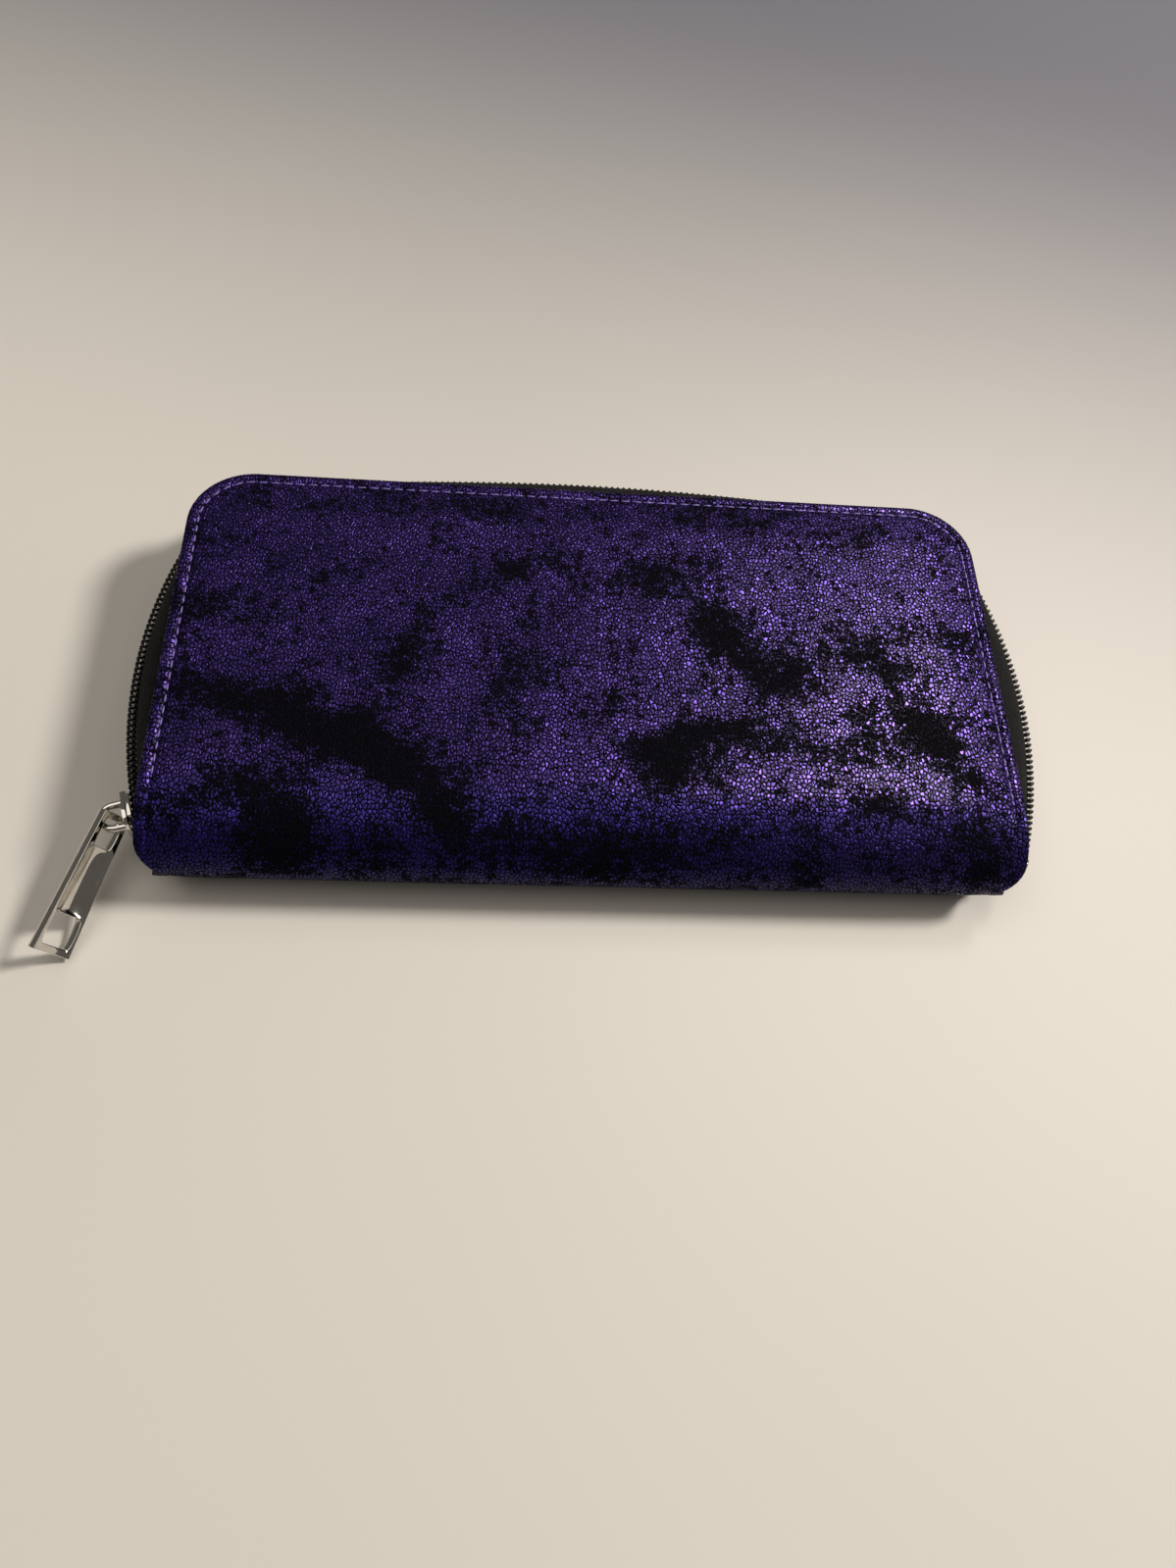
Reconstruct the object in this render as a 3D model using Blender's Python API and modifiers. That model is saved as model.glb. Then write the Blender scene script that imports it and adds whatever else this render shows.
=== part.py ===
"""A long zip-around wallet: two padded covers, a rounded spine, a coil zip, card rows and a coin pocket.

The frame: the origin is the centre of the lower cover's flat outer face, +X runs along the wallet,
+Y points away from the spine and +Z is up. Lengths are in metres.
"""

import math

import bmesh
import bpy
from mathutils import Matrix, Vector

MM = 0.001

# Covers
COVER_LENGTH = 190.0 * MM
COVER_DEPTH = 100.0 * MM
CLOSED_HEIGHT = 24.0 * MM
FAR_CORNER_RADIUS = 15.0 * MM
SPINE_CORNER_RADIUS = 5.0 * MM
SPINE_CURVE_DEPTH = 16.0 * MM
COVER_THICKNESS = 1.2 * MM
BOARD_THICKNESS = 0.8 * MM
BOARD_CLEARANCE = 1.0 * MM
LINING_THICKNESS = 0.5 * MM
LINING_MARGIN = 2.5 * MM

# Gaps between neighbouring pieces
PIECE_GAP = 0.3 * MM
SPLIT_GAP = 0.3 * MM

# Card rows
CARD_ROW_COUNT = 4
CARD_ROW_SIDE_MARGIN = 9.0 * MM
CARD_PANEL_THICKNESS = 0.5 * MM
CARD_ROW_STEP = 11.0 * MM
CARD_ROW_TOP_MARGIN = 12.0 * MM
CARD_ROW_SPINE_MARGIN = 20.0 * MM
CARD_CORNER_RADIUS = 3.0 * MM

# Main zip
ZIP_BULGE_LEFT = 7.3 * MM
ZIP_BULGE_RIGHT = 9.3 * MM
ZIP_BULGE_FAR = 9.6 * MM
ZIP_SIDE_TUCK = 8.5038 * MM
ZIP_FAR_TUCK = 6.038 * MM
ZIP_CORNER_RADIUS = 17.0 * MM
ZIP_SIDE_PEAK = 0.48 * COVER_DEPTH
COIL_RADIUS = 1.15 * MM
COIL_OFFSET = 1.95 * MM
COIL_END = 7.5 * MM
TAPE_THICKNESS = 0.6 * MM
TAPE_END = 4.6 * MM
TAPE_UPRIGHT = 5.3 * MM
TAPE_FLAP = 4.5 * MM
TAPE_EDGE_MARGIN = 1.5 * MM
STOP_LENGTH = 1.8 * MM
STOP_SIZE = 2.3 * MM

# Main slider
SLIDER_REST = 14.1 * MM
SLIDER_LENGTH = 9.0 * MM
SLIDER_WIDTH = 8.4 * MM
SLIDER_PLATE = 1.0 * MM
SLIDER_NECK = 0.8 * MM
SLIDER_NECK_LENGTH = 2.6 * MM
SLIDER_CLEARANCE = 0.55 * MM
BAIL_WIRE_RADIUS = 0.75 * MM
BAIL_EYE_RADIUS = 2.1 * MM
BAIL_FOOT_SPREAD = 2.9 * MM
BAIL_REACH_SHARE = 0.375

# Pull
PULL_LENGTH = 31.4 * MM
PULL_WIDE = 8.9 * MM
PULL_NARROW = 6.4 * MM
PULL_THICKNESS = 2.2 * MM
PULL_END_BAR = 1.4 * MM
PULL_SLOT_LENGTH = 6.3 * MM
PULL_SLOT_WIDTH = 4.4 * MM
PULL_WINDOW_MARGIN = 1.8 * MM
PULL_WINDOW_LENGTH = 6.2 * MM
PULL_WINDOW_WIDTH = 6.4 * MM
PULL_CORNER_RADIUS = 1.2 * MM
PULL_DIRECTION = (-0.332, -0.910, -0.250)
PULL_EDGE_DIRECTION = (-0.538, -0.035, 0.842)

# Divider with the coin pocket
POCKET_OVERHANG = 1.0 * MM
POCKET_SPINE_MARGIN = 8.0 * MM
POCKET_FAR_MARGIN = 13.3 * MM
POCKET_PANEL_THICKNESS = 0.6 * MM
POCKET_HALF_GAP = 0.8 * MM
POCKET_FLARE_LENGTH = 10.0 * MM
POCKET_FLARE = 1.5 * MM
COIN_COIL_RADIUS = 0.8 * MM
COIN_COIL_OFFSET = 1.4 * MM
COIN_TAPE_THICKNESS = 0.5 * MM
COIN_TAPE_HEIGHT = 3.1 * MM
COIN_STOP_LENGTH = 1.6 * MM
COIN_STOP_SIZE = 1.6 * MM
COIN_ZIP_MARGIN = 8.0 * MM
COIN_SLIDER_START = 5.0 * MM
COIN_SLIDER_LENGTH = 6.5 * MM
COIN_SLIDER_WIDTH = 5.6 * MM
COIN_SLIDER_PLATE = 0.7 * MM
COIN_SLIDER_NECK = 0.6 * MM
COIN_SLIDER_CLEARANCE = 0.35 * MM
COIN_BAIL_WIRE_RADIUS = 0.5 * MM
COIN_BAIL_EYE_RADIUS = 1.2 * MM
COIN_PULL_LENGTH = 18.0 * MM
COIN_PULL_WIDTH = 4.5 * MM
COIN_PULL_THICKNESS = 1.0 * MM
COIN_PULL_END_BAR = 1.0 * MM
COIN_PULL_SLOT_LENGTH = 4.0 * MM
COIN_PULL_SLOT_WIDTH = 2.2 * MM

# Gussets
GUSSET_THICKNESS = 0.4 * MM
GUSSET_CLEARANCE = 1.6 * MM
GUSSET_FOLD_DEPTH = 20.0 * MM
GUSSET_NEAR_MARGIN = 12.0 * MM
GUSSET_FAR_MARGIN = 28.0 * MM

# Values that follow from the sizes above
HALF_LENGTH = COVER_LENGTH / 2
FAR_EDGE = COVER_DEPTH / 2
SPINE_EDGE = -COVER_DEPTH / 2
MIDDLE = CLOSED_HEIGHT / 2
TAPE_SETBACK = COIL_RADIUS + PIECE_GAP + TAPE_THICKNESS / 2
LINING_TOP = COVER_THICKNESS + BOARD_THICKNESS + LINING_THICKNESS + 2 * PIECE_GAP
CARD_STACK_TOP = LINING_TOP + CARD_ROW_COUNT * (CARD_PANEL_THICKNESS + PIECE_GAP)
CARD_ROW_WIDTH = COVER_LENGTH - 2 * CARD_ROW_SIDE_MARGIN
POCKET_LENGTH = CARD_ROW_WIDTH + 2 * POCKET_OVERHANG
GUSSET_EDGE = POCKET_LENGTH / 2 + GUSSET_CLEARANCE
BOARD_MARGIN = TAPE_EDGE_MARGIN + TAPE_FLAP + BOARD_CLEARANCE
ZIP_SIDE_HALF = max(ZIP_SIDE_PEAK - TAPE_END, COVER_DEPTH - FAR_CORNER_RADIUS - ZIP_SIDE_PEAK)
ZIP_SIDE_RADIUS = (ZIP_SIDE_HALF ** 2 + ZIP_SIDE_TUCK ** 2) / (2 * ZIP_SIDE_TUCK)
ZIP_FAR_HALF = HALF_LENGTH - FAR_CORNER_RADIUS
ZIP_FAR_RADIUS = (ZIP_FAR_HALF ** 2 + ZIP_FAR_TUCK ** 2) / (2 * ZIP_FAR_TUCK)
PULL_WINDOW_START = PULL_LENGTH - PULL_WINDOW_MARGIN - PULL_WINDOW_LENGTH
COIN_SLIDER_REST = COIN_ZIP_MARGIN + COIN_SLIDER_START - POCKET_LENGTH / 2

BLACK_CLOTH = ("black_lining_cloth", (0.012, 0.012, 0.014), 0.85, 0.0)
FOIL_LEATHER = ("purple_foil_leather", (0.115, 0.045, 0.30), 0.38, 0.55)
BLACK_PANEL = ("black_panel_leather", (0.016, 0.015, 0.018), 0.55, 0.0)
GREY_BOARD = ("grey_fibre_board", (0.22, 0.20, 0.17), 0.9, 0.0)
BLACK_TAPE = ("black_zip_tape", (0.010, 0.010, 0.011), 0.8, 0.0)
BLACK_NYLON = ("black_nylon_coil", (0.014, 0.014, 0.015), 0.35, 0.0)
CHROME = ("bright_chrome", (0.72, 0.72, 0.74), 0.12, 1.0)


def clear_scene():
    for obj in list(bpy.data.objects):
        bpy.data.objects.remove(obj, do_unlink=True)


def get_collection(name, helpers=False):
    collection = bpy.data.collections.new(name)
    bpy.context.scene.collection.children.link(collection)
    collection.hide_render = helpers
    return collection


def get_material(recipe):
    name, colour, roughness, metallic = recipe
    material = bpy.data.materials.get(name)
    if material:
        return material
    material = bpy.data.materials.new(name)
    material.use_nodes = True
    shader = material.node_tree.nodes["Principled BSDF"]
    shader.inputs["Base Color"].default_value = (*colour, 1.0)
    shader.inputs["Roughness"].default_value = roughness
    shader.inputs["Metallic"].default_value = metallic
    material.diffuse_color = (*colour, 1.0)
    return material


def add_object(name, mesh, recipe, collection, parent=None):
    obj = bpy.data.objects.new(name, mesh)
    collection.objects.link(obj)
    obj.data.materials.append(get_material(recipe))
    hang_on(obj, parent)
    return obj


def hang_on(obj, parent):
    """Parents the object to an empty that is moved but not turned, and leaves it where it is."""
    if parent is None:
        return
    offset = Vector()
    link = parent
    while link is not None:
        offset += link.location
        link = link.parent
    obj.parent = parent
    obj.matrix_parent_inverse = Matrix.Translation(-offset)


def add_axis(name, position, collection, parent=None):
    """An empty on a joint's axis."""
    empty = bpy.data.objects.new(name, None)
    collection.objects.link(empty)
    empty.empty_display_size = 0.01
    here = Vector(position)
    link = parent
    while link is not None:
        here -= link.location
        link = link.parent
    empty.parent = parent
    empty.location = here
    return empty


def mesh_of(obj):
    """The object's evaluated mesh, welded and moved to world space. The object is removed."""
    bpy.context.view_layer.update()
    graph = bpy.context.evaluated_depsgraph_get()
    mesh = bpy.data.meshes.new_from_object(obj.evaluated_get(graph))
    mesh.transform(obj.matrix_world)
    bpy.data.objects.remove(obj, do_unlink=True)
    weld(mesh)
    return mesh


def weld(mesh):
    work = bmesh.new()
    work.from_mesh(mesh)
    bmesh.ops.remove_doubles(work, verts=work.verts, dist=0.000002)
    bmesh.ops.recalc_face_normals(work, faces=work.faces)
    work.to_mesh(mesh)
    work.free()


def box_mesh(name, centre, size, turn=None):
    work = bmesh.new()
    bmesh.ops.create_cube(work, size=1.0)
    mesh = bpy.data.meshes.new(name)
    work.to_mesh(mesh)
    work.free()
    mesh.transform(Matrix.Diagonal((*size, 1.0)))
    if turn is not None:
        mesh.transform(turn.to_4x4())
    mesh.transform(Matrix.Translation(Vector(centre)))
    return mesh


def arc_points(centre, radius, start, end, steps):
    """Points on a circle from one angle to another, in degrees, both ends included."""
    points = []
    for step in range(steps + 1):
        angle = math.radians(start + (end - start) * step / steps)
        points.append((centre[0] + radius * math.cos(angle), centre[1] + radius * math.sin(angle)))
    return points


def rounded_outline(half_length, near, far, near_radius, far_radius, steps=8):
    """A plan outline with its own corner radius at the near and the far side."""
    points = []
    points += arc_points((half_length - near_radius, near + near_radius), near_radius, -90, 0, steps)
    points += arc_points((half_length - far_radius, far - far_radius), far_radius, 0, 90, steps)
    points += arc_points((far_radius - half_length, far - far_radius), far_radius, 90, 180, steps)
    points += arc_points((near_radius - half_length, near + near_radius), near_radius, 180, 270, steps)
    return points


def flat_plate(name, outlines, bottom, thickness):
    """A level plate from plan outlines; the second and later outlines are holes."""
    data = bpy.data.curves.new(name, "CURVE")
    data.dimensions = "2D"
    data.fill_mode = "BOTH"
    data.extrude = thickness / 2
    for outline in outlines:
        spline = data.splines.new("POLY")
        spline.points.add(len(outline) - 1)
        for point, place in zip(spline.points, outline):
            point.co = (place[0], place[1], 0.0, 1.0)
        spline.use_cyclic_u = True
    obj = bpy.data.objects.new(name, data)
    bpy.context.scene.collection.objects.link(obj)
    obj.location = (0.0, 0.0, bottom + thickness / 2)
    return mesh_of(obj)


def tube(name, points, radius, closed=False):
    data = bpy.data.curves.new(name, "CURVE")
    data.dimensions = "3D"
    data.bevel_depth = radius
    data.bevel_resolution = 2
    data.use_fill_caps = True
    spline = data.splines.new("POLY")
    spline.points.add(len(points) - 1)
    for point, place in zip(spline.points, points):
        point.co = (*place, 1.0)
    spline.use_cyclic_u = closed
    obj = bpy.data.objects.new(name, data)
    bpy.context.scene.collection.objects.link(obj)
    mesh = mesh_of(obj)
    mesh.shade_smooth()
    mesh.set_sharp_from_angle(angle=math.radians(50))
    return mesh


def sheet(name, rows, thickness):
    """A skin of even thickness around an open surface given as rows of points."""
    points = [point for row in rows for point in row]
    width = len(rows[0])
    faces = []
    for row in range(len(rows) - 1):
        for column in range(width - 1):
            corner = row * width + column
            faces.append((corner, corner + 1, corner + width + 1, corner + width))
    mesh = bpy.data.meshes.new(name)
    mesh.from_pydata(points, [], faces)
    obj = bpy.data.objects.new(name, mesh)
    bpy.context.scene.collection.objects.link(obj)
    shell = obj.modifiers.new("thickness", "SOLIDIFY")
    shell.thickness = thickness
    shell.offset = 0.0
    shell.use_even_offset = True
    return mesh_of(obj)


def add_boolean(obj, other, operation):
    step = obj.modifiers.new(operation.lower(), "BOOLEAN")
    step.operation = operation
    step.object = other
    step.solver = "EXACT"


def spine_height(y):
    """Height of the lower cover's outer surface above the base plane, at a distance from the spine."""
    start = SPINE_EDGE + SPINE_CURVE_DEPTH
    if y >= start:
        return 0.0
    share = min((start - y) / SPINE_CURVE_DEPTH, 1.0)
    return MIDDLE * (1.0 - math.sqrt(1.0 - share * share))


def inner_height(y):
    """Height of the lower cover's inner surface."""
    step = 0.1 * MM
    slope = (spine_height(y + step) - spine_height(y - step)) / (2 * step)
    return spine_height(y) + COVER_THICKNESS * math.sqrt(1.0 + slope * slope)


def side_height(height, side):
    """A height above the base plane, or the same distance below the upper face."""
    return height if side < 0 else CLOSED_HEIGHT - height


def cover_profile():
    """The lower cover's middle surface, as (y, z) points from the far edge to the split in the spine."""
    half = COVER_THICKNESS / 2
    points = [(FAR_EDGE + MM, half)]
    start = SPINE_EDGE + SPINE_CURVE_DEPTH
    last = math.degrees(math.acos(SPLIT_GAP / 2 / MIDDLE))
    steps = 12
    for step in range(steps + 1):
        angle = math.radians(last * step / steps)
        y = start - SPINE_CURVE_DEPTH * math.sin(angle)
        z = MIDDLE - MIDDLE * math.cos(angle)
        normal = Vector((math.sin(angle) / SPINE_CURVE_DEPTH, math.cos(angle) / MIDDLE)).normalized()
        points.append((y + normal.x * half, z + normal.y * half))
    return points


def make_cover(name, side, collection, cutters, parent=None):
    reach = HALF_LENGTH + MM
    rows = []
    for y, z in cover_profile():
        rows.append([(-reach, y, side_height(z, side)), (reach, y, side_height(z, side))])
    skin = add_object(name, sheet(name, rows, COVER_THICKNESS), FOIL_LEATHER, collection)
    outline = rounded_outline(
        HALF_LENGTH, SPINE_EDGE - MM / 2, FAR_EDGE, SPINE_CORNER_RADIUS, FAR_CORNER_RADIUS
    )
    keep = add_object(
        name + "_outline", flat_plate(name + "_outline", [outline], -5 * MM, CLOSED_HEIGHT + 10 * MM),
        BLACK_CLOTH, cutters
    )
    keep.hide_render = True
    keep.display_type = "WIRE"
    add_boolean(skin, keep, "INTERSECT")
    hang_on(skin, parent)
    return skin


def make_flat_layers(prefix, side, collection, parent=None):
    """The stiffening board, the lining and the card rows of one half."""
    start = SPINE_EDGE + SPINE_CURVE_DEPTH + MM
    height = COVER_THICKNESS + PIECE_GAP
    board = rounded_outline(
        HALF_LENGTH - BOARD_MARGIN, start, FAR_EDGE - BOARD_MARGIN,
        2 * MM, FAR_CORNER_RADIUS - BOARD_MARGIN + 2 * MM
    )
    add_layer(prefix + "_board", board, height, BOARD_THICKNESS, GREY_BOARD, side, collection, parent)
    height += BOARD_THICKNESS + PIECE_GAP
    lining = rounded_outline(
        HALF_LENGTH - LINING_MARGIN, start, FAR_EDGE - LINING_MARGIN,
        2 * MM, FAR_CORNER_RADIUS - LINING_MARGIN
    )
    add_layer(prefix + "_lining", lining, height, LINING_THICKNESS, BLACK_CLOTH, side, collection, parent)
    height += LINING_THICKNESS + PIECE_GAP
    for row in range(CARD_ROW_COUNT):
        far = FAR_EDGE - CARD_ROW_TOP_MARGIN - row * CARD_ROW_STEP
        near = SPINE_EDGE + CARD_ROW_SPINE_MARGIN
        outline = rounded_outline(CARD_ROW_WIDTH / 2, near, far, CARD_CORNER_RADIUS, CARD_CORNER_RADIUS, 4)
        name = prefix + "_card_row_" + str(row + 1)
        add_layer(name, outline, height, CARD_PANEL_THICKNESS, BLACK_PANEL, side, collection, parent)
        height += CARD_PANEL_THICKNESS + PIECE_GAP


def add_layer(name, outline, height, thickness, recipe, side, collection, parent):
    bottom = height if side < 0 else CLOSED_HEIGHT - height - thickness
    add_object(name, flat_plate(name, [outline], bottom, thickness), recipe, collection, parent)


def circle_meeting(first, first_radius, second, second_radius, way):
    """One of the two points where two circles meet."""
    between = Vector(second) - Vector(first)
    distance = between.length
    along = (distance ** 2 + first_radius ** 2 - second_radius ** 2) / (2 * distance)
    across = math.sqrt(max(first_radius ** 2 - along ** 2, 0.0))
    unit = between.normalized()
    return Vector(first) + unit * along + Vector((-unit.y, unit.x)) * across * way


def side_centre(bulge, side):
    """Centre of the arc that the closed zip follows along one short side."""
    return Vector((side * (HALF_LENGTH + bulge - ZIP_SIDE_RADIUS), SPINE_EDGE + ZIP_SIDE_PEAK))


def far_centre():
    return Vector((0.0, FAR_EDGE + ZIP_BULGE_FAR - ZIP_FAR_RADIUS))


def corner_centre(bulge, side):
    """Centre of the arc that rounds the zip at a far corner, touching the side arc and the far arc."""
    way = 1.0 if side < 0 else -1.0
    inner_side = ZIP_SIDE_RADIUS - ZIP_CORNER_RADIUS
    inner_far = ZIP_FAR_RADIUS - ZIP_CORNER_RADIUS
    return circle_meeting(side_centre(bulge, side), inner_side, far_centre(), inner_far, -way)


def angle_of(point, centre):
    return math.degrees(math.atan2(point[1] - centre[1], point[0] - centre[0]))


def zip_path(end_margin):
    """Plan points along the closed zip from the left end round to the right, each with its outward normal."""
    left = side_centre(ZIP_BULGE_LEFT, -1)
    right = side_centre(ZIP_BULGE_RIGHT, 1)
    far = far_centre()
    left_corner = corner_centre(ZIP_BULGE_LEFT, -1)
    right_corner = corner_centre(ZIP_BULGE_RIGHT, 1)
    end_y = SPINE_EDGE + end_margin
    end_turn = math.degrees(math.asin((end_y - left.y) / ZIP_SIDE_RADIUS))
    left_join = angle_of(left_corner, left) % 360
    far_left_join = angle_of(left_corner, far)
    far_right_join = angle_of(right_corner, far)
    right_join = angle_of(right_corner, right)
    path = []
    stretches = [
        (left, ZIP_SIDE_RADIUS, 180 - end_turn, left_join, 18),
        (left_corner, ZIP_CORNER_RADIUS, left_join, far_left_join, 7),
        (far, ZIP_FAR_RADIUS, far_left_join, far_right_join, 16),
        (right_corner, ZIP_CORNER_RADIUS, far_right_join, right_join, 7),
        (right, ZIP_SIDE_RADIUS, right_join, end_turn, 18),
    ]
    for number, (centre, radius, start, end, steps) in enumerate(stretches):
        points = arc_points(centre, radius, start, end, steps)
        for point in points[1 if number else 0:]:
            place = Vector(point)
            path.append((place, (place - centre).normalized()))
    return path


def nearest_inside(place, margin):
    """The nearest plan point on the cover's outline, moved inward by a margin."""
    core_x = HALF_LENGTH - FAR_CORNER_RADIUS
    core_y = FAR_EDGE - FAR_CORNER_RADIUS
    side = -1.0 if place.x < 0 else 1.0
    if abs(place.x) > core_x and place.y > core_y:
        core = Vector((side * core_x, core_y))
        return core + (place - core).normalized() * (FAR_CORNER_RADIUS - margin)
    if abs(place.x) > core_x:
        return Vector((side * (HALF_LENGTH - margin), place.y))
    return Vector((place.x, FAR_EDGE - margin))


def make_zip_half(prefix, side, collection, parent=None):
    """One half of the main zip: its tape, its coil and the two stops at the coil's ends."""
    rows = []
    for place, outward in zip_path(TAPE_END):
        upright = place - outward * TAPE_SETBACK
        edge = nearest_inside(place, TAPE_EDGE_MARGIN)
        flap = nearest_inside(place, TAPE_EDGE_MARGIN + TAPE_FLAP)
        level = inner_height(place.y) + PIECE_GAP + TAPE_THICKNESS / 2
        reach = min(TAPE_UPRIGHT, MIDDLE - level - PIECE_GAP)
        heights = (MIDDLE - COIL_OFFSET + COIL_RADIUS, MIDDLE - reach, level, level)
        row = []
        for plan, height in zip((upright, upright, edge, flap), heights):
            row.append((plan.x, plan.y, side_height(height, side)))
        rows.append(row)
    name = prefix + "_zip_tape"
    add_object(name, sheet(name, rows, TAPE_THICKNESS), BLACK_TAPE, collection, parent)
    height = side_height(MIDDLE - COIL_OFFSET, side)
    path = zip_path(COIL_END)
    points = [(place.x, place.y, height) for place, _ in path]
    name = prefix + "_zip_coil"
    add_object(name, tube(name, points, COIL_RADIUS), BLACK_NYLON, collection, parent)
    for label, bulge, hand in (("left", ZIP_BULGE_LEFT, -1), ("right", ZIP_BULGE_RIGHT, 1)):
        make_stop(prefix + "_zip_stop_" + label, bulge, hand, height, collection, parent)


def make_stop(name, bulge, hand, height, collection, parent):
    """The crimped metal stop that sits just past the end of one coil."""
    centre = side_centre(bulge, hand)
    end = math.asin((SPINE_EDGE + COIL_END - centre.y) / ZIP_SIDE_RADIUS)
    past = (STOP_LENGTH / 2 + PIECE_GAP) / ZIP_SIDE_RADIUS
    angle = end - past
    place = (centre.x + hand * ZIP_SIDE_RADIUS * math.cos(angle), centre.y + ZIP_SIDE_RADIUS * math.sin(angle))
    turn = Matrix.Rotation(hand * angle, 3, "Z")
    mesh = box_mesh(name, (*place, height), (STOP_SIZE, STOP_LENGTH, STOP_SIZE), turn)
    add_object(name, mesh, CHROME, collection, parent)


def slider_angle():
    """Turn of the slider at rest, about the vertical, from the straight direction."""
    centre = side_centre(ZIP_BULGE_LEFT, -1)
    return -math.asin((SPINE_EDGE + SLIDER_REST - centre.y) / ZIP_SIDE_RADIUS)


def slider_frame():
    """World placing of the slider's own frame: +X inward, +Y along the zip, the origin on the coil line."""
    centre = side_centre(ZIP_BULGE_LEFT, -1)
    angle = slider_angle()
    turn = Matrix.Rotation(angle, 4, "Z")
    place = Vector((*centre, MIDDLE)) + turn @ Vector((-ZIP_SIDE_RADIUS, 0.0, 0.0))
    return Matrix.Translation(place) @ turn


def slider_outside():
    return COIL_RADIUS + SLIDER_CLEARANCE + SLIDER_PLATE


def slider_inside():
    return TAPE_SETBACK + TAPE_THICKNESS / 2 + SLIDER_CLEARANCE


def bail_centre():
    """Centre of the bail's eye in the slider's frame, which is also where the pull hangs."""
    return Vector((-slider_outside() - PULL_NARROW * BAIL_REACH_SHARE, 0.0, 0.0))


def plate_outline(length, nose, tail):
    """A slider plate seen from its face: (along the zip, across it), wide where the coils part."""
    half = length / 2
    return [
        (-half, -nose * 0.3), (-half * 0.6, -nose / 2), (half * 0.35, -nose / 2), (half, -tail / 2),
        (half, tail / 2), (half * 0.35, nose / 2), (-half * 0.6, nose / 2), (-half, nose * 0.3),
    ]


def upright_plate(name, outline, start, thickness):
    """A plate that stands across the slider's X, from an outline given as (Y, Z)."""
    mesh = flat_plate(name, [outline], 0.0, thickness)
    turn = Matrix(((0, 0, 1, start), (1, 0, 0, 0), (0, 1, 0, 0), (0, 0, 0, 1)))
    mesh.transform(turn)
    return mesh


def join_solids(name, meshes, recipe, collection, cutters):
    """One body from overlapping solids: the first one, with a Boolean union for each of the rest."""
    body = add_object(name, meshes[0], recipe, collection)
    for number, mesh in enumerate(meshes[1:]):
        helper = add_object(name + "_joined_" + str(number + 1), mesh, recipe, cutters)
        helper.hide_render = True
        helper.display_type = "WIRE"
        add_boolean(body, helper, "UNION")
    return body


def make_slider(collection, cutters, parent):
    place = slider_frame()
    outside = slider_outside()
    inside = slider_inside()
    outline = plate_outline(SLIDER_LENGTH, SLIDER_WIDTH, SLIDER_WIDTH * 0.8)
    outer = upright_plate("slider_outer", outline, -outside, SLIDER_PLATE)
    inner = upright_plate("slider_inner", outline, inside, SLIDER_PLATE)
    overlap = SLIDER_PLATE / 2
    neck_span = outside + inside - SLIDER_PLATE + 2 * overlap
    neck_middle = (inside - outside + SLIDER_PLATE) / 2
    neck = box_mesh(
        "slider_neck", (neck_middle, -SLIDER_LENGTH * 0.28, 0.0),
        (neck_span, SLIDER_NECK_LENGTH, SLIDER_NECK)
    )
    flange_height = 1.0 * MM
    flange_depth = COIL_RADIUS * 0.9
    flange = box_mesh(
        "slider_flange",
        (-outside + SLIDER_PLATE + flange_depth / 2 - overlap / 2, 0.0,
         -COIL_OFFSET - COIL_RADIUS - PIECE_GAP - flange_height / 2),
        (flange_depth + overlap, SLIDER_LENGTH * 0.6, flange_height)
    )
    meshes = [outer, inner, neck, flange]
    for mesh in meshes:
        mesh.transform(place)
    hang_on(join_solids("slider_body", meshes, CHROME, collection, cutters), parent)
    make_bail(
        "slider_bail", place, -outside - PIECE_GAP, bail_centre(), BAIL_EYE_RADIUS, BAIL_WIRE_RADIUS,
        BAIL_FOOT_SPREAD, collection, parent
    )


def make_bail(name, place, foot, centre, eye, wire, spread, collection, parent):
    """The bent wire loop that the pull hangs on, standing on the slider's outer plate."""
    radius = eye + wire
    points = [(foot - wire * 0.1, -spread, 0.0)]
    for step in range(17):
        angle = math.radians(-90 - 180 * step / 16)
        points.append((centre.x + radius * math.cos(angle), radius * math.sin(angle), 0.0))
    points.append((foot - wire * 0.1, spread, 0.0))
    mesh = tube(name, points, wire)
    mesh.transform(place)
    add_object(name, mesh, CHROME, collection, parent)


def tapered_outline(start, end, start_width, end_width, radius, steps=5):
    """A plan outline along +X that widens from one end to the other, with rounded corners."""
    points = []
    near = min(radius, start_width / 2 * 0.98)
    far = min(radius, end_width / 2 * 0.98)
    points += arc_points((start + near, near - start_width / 2), near, 180, 270, steps)
    points += arc_points((end - far, far - end_width / 2), far, 270, 360, steps)
    points += arc_points((end - far, end_width / 2 - far), far, 0, 90, steps)
    points += arc_points((start + near, start_width / 2 - near), near, 90, 180, steps)
    return points


def pull_frame():
    """World placing of the pull: +X to its free end, +Y to its raised edge, origin in its end bar."""
    along = Vector(PULL_DIRECTION).normalized()
    edge = Vector(PULL_EDGE_DIRECTION)
    edge = (edge - along * edge.dot(along)).normalized()
    face = along.cross(edge)
    turn = Matrix((along, edge, face)).transposed().to_4x4()
    return Matrix.Translation(slider_frame() @ bail_centre()) @ turn


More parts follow.
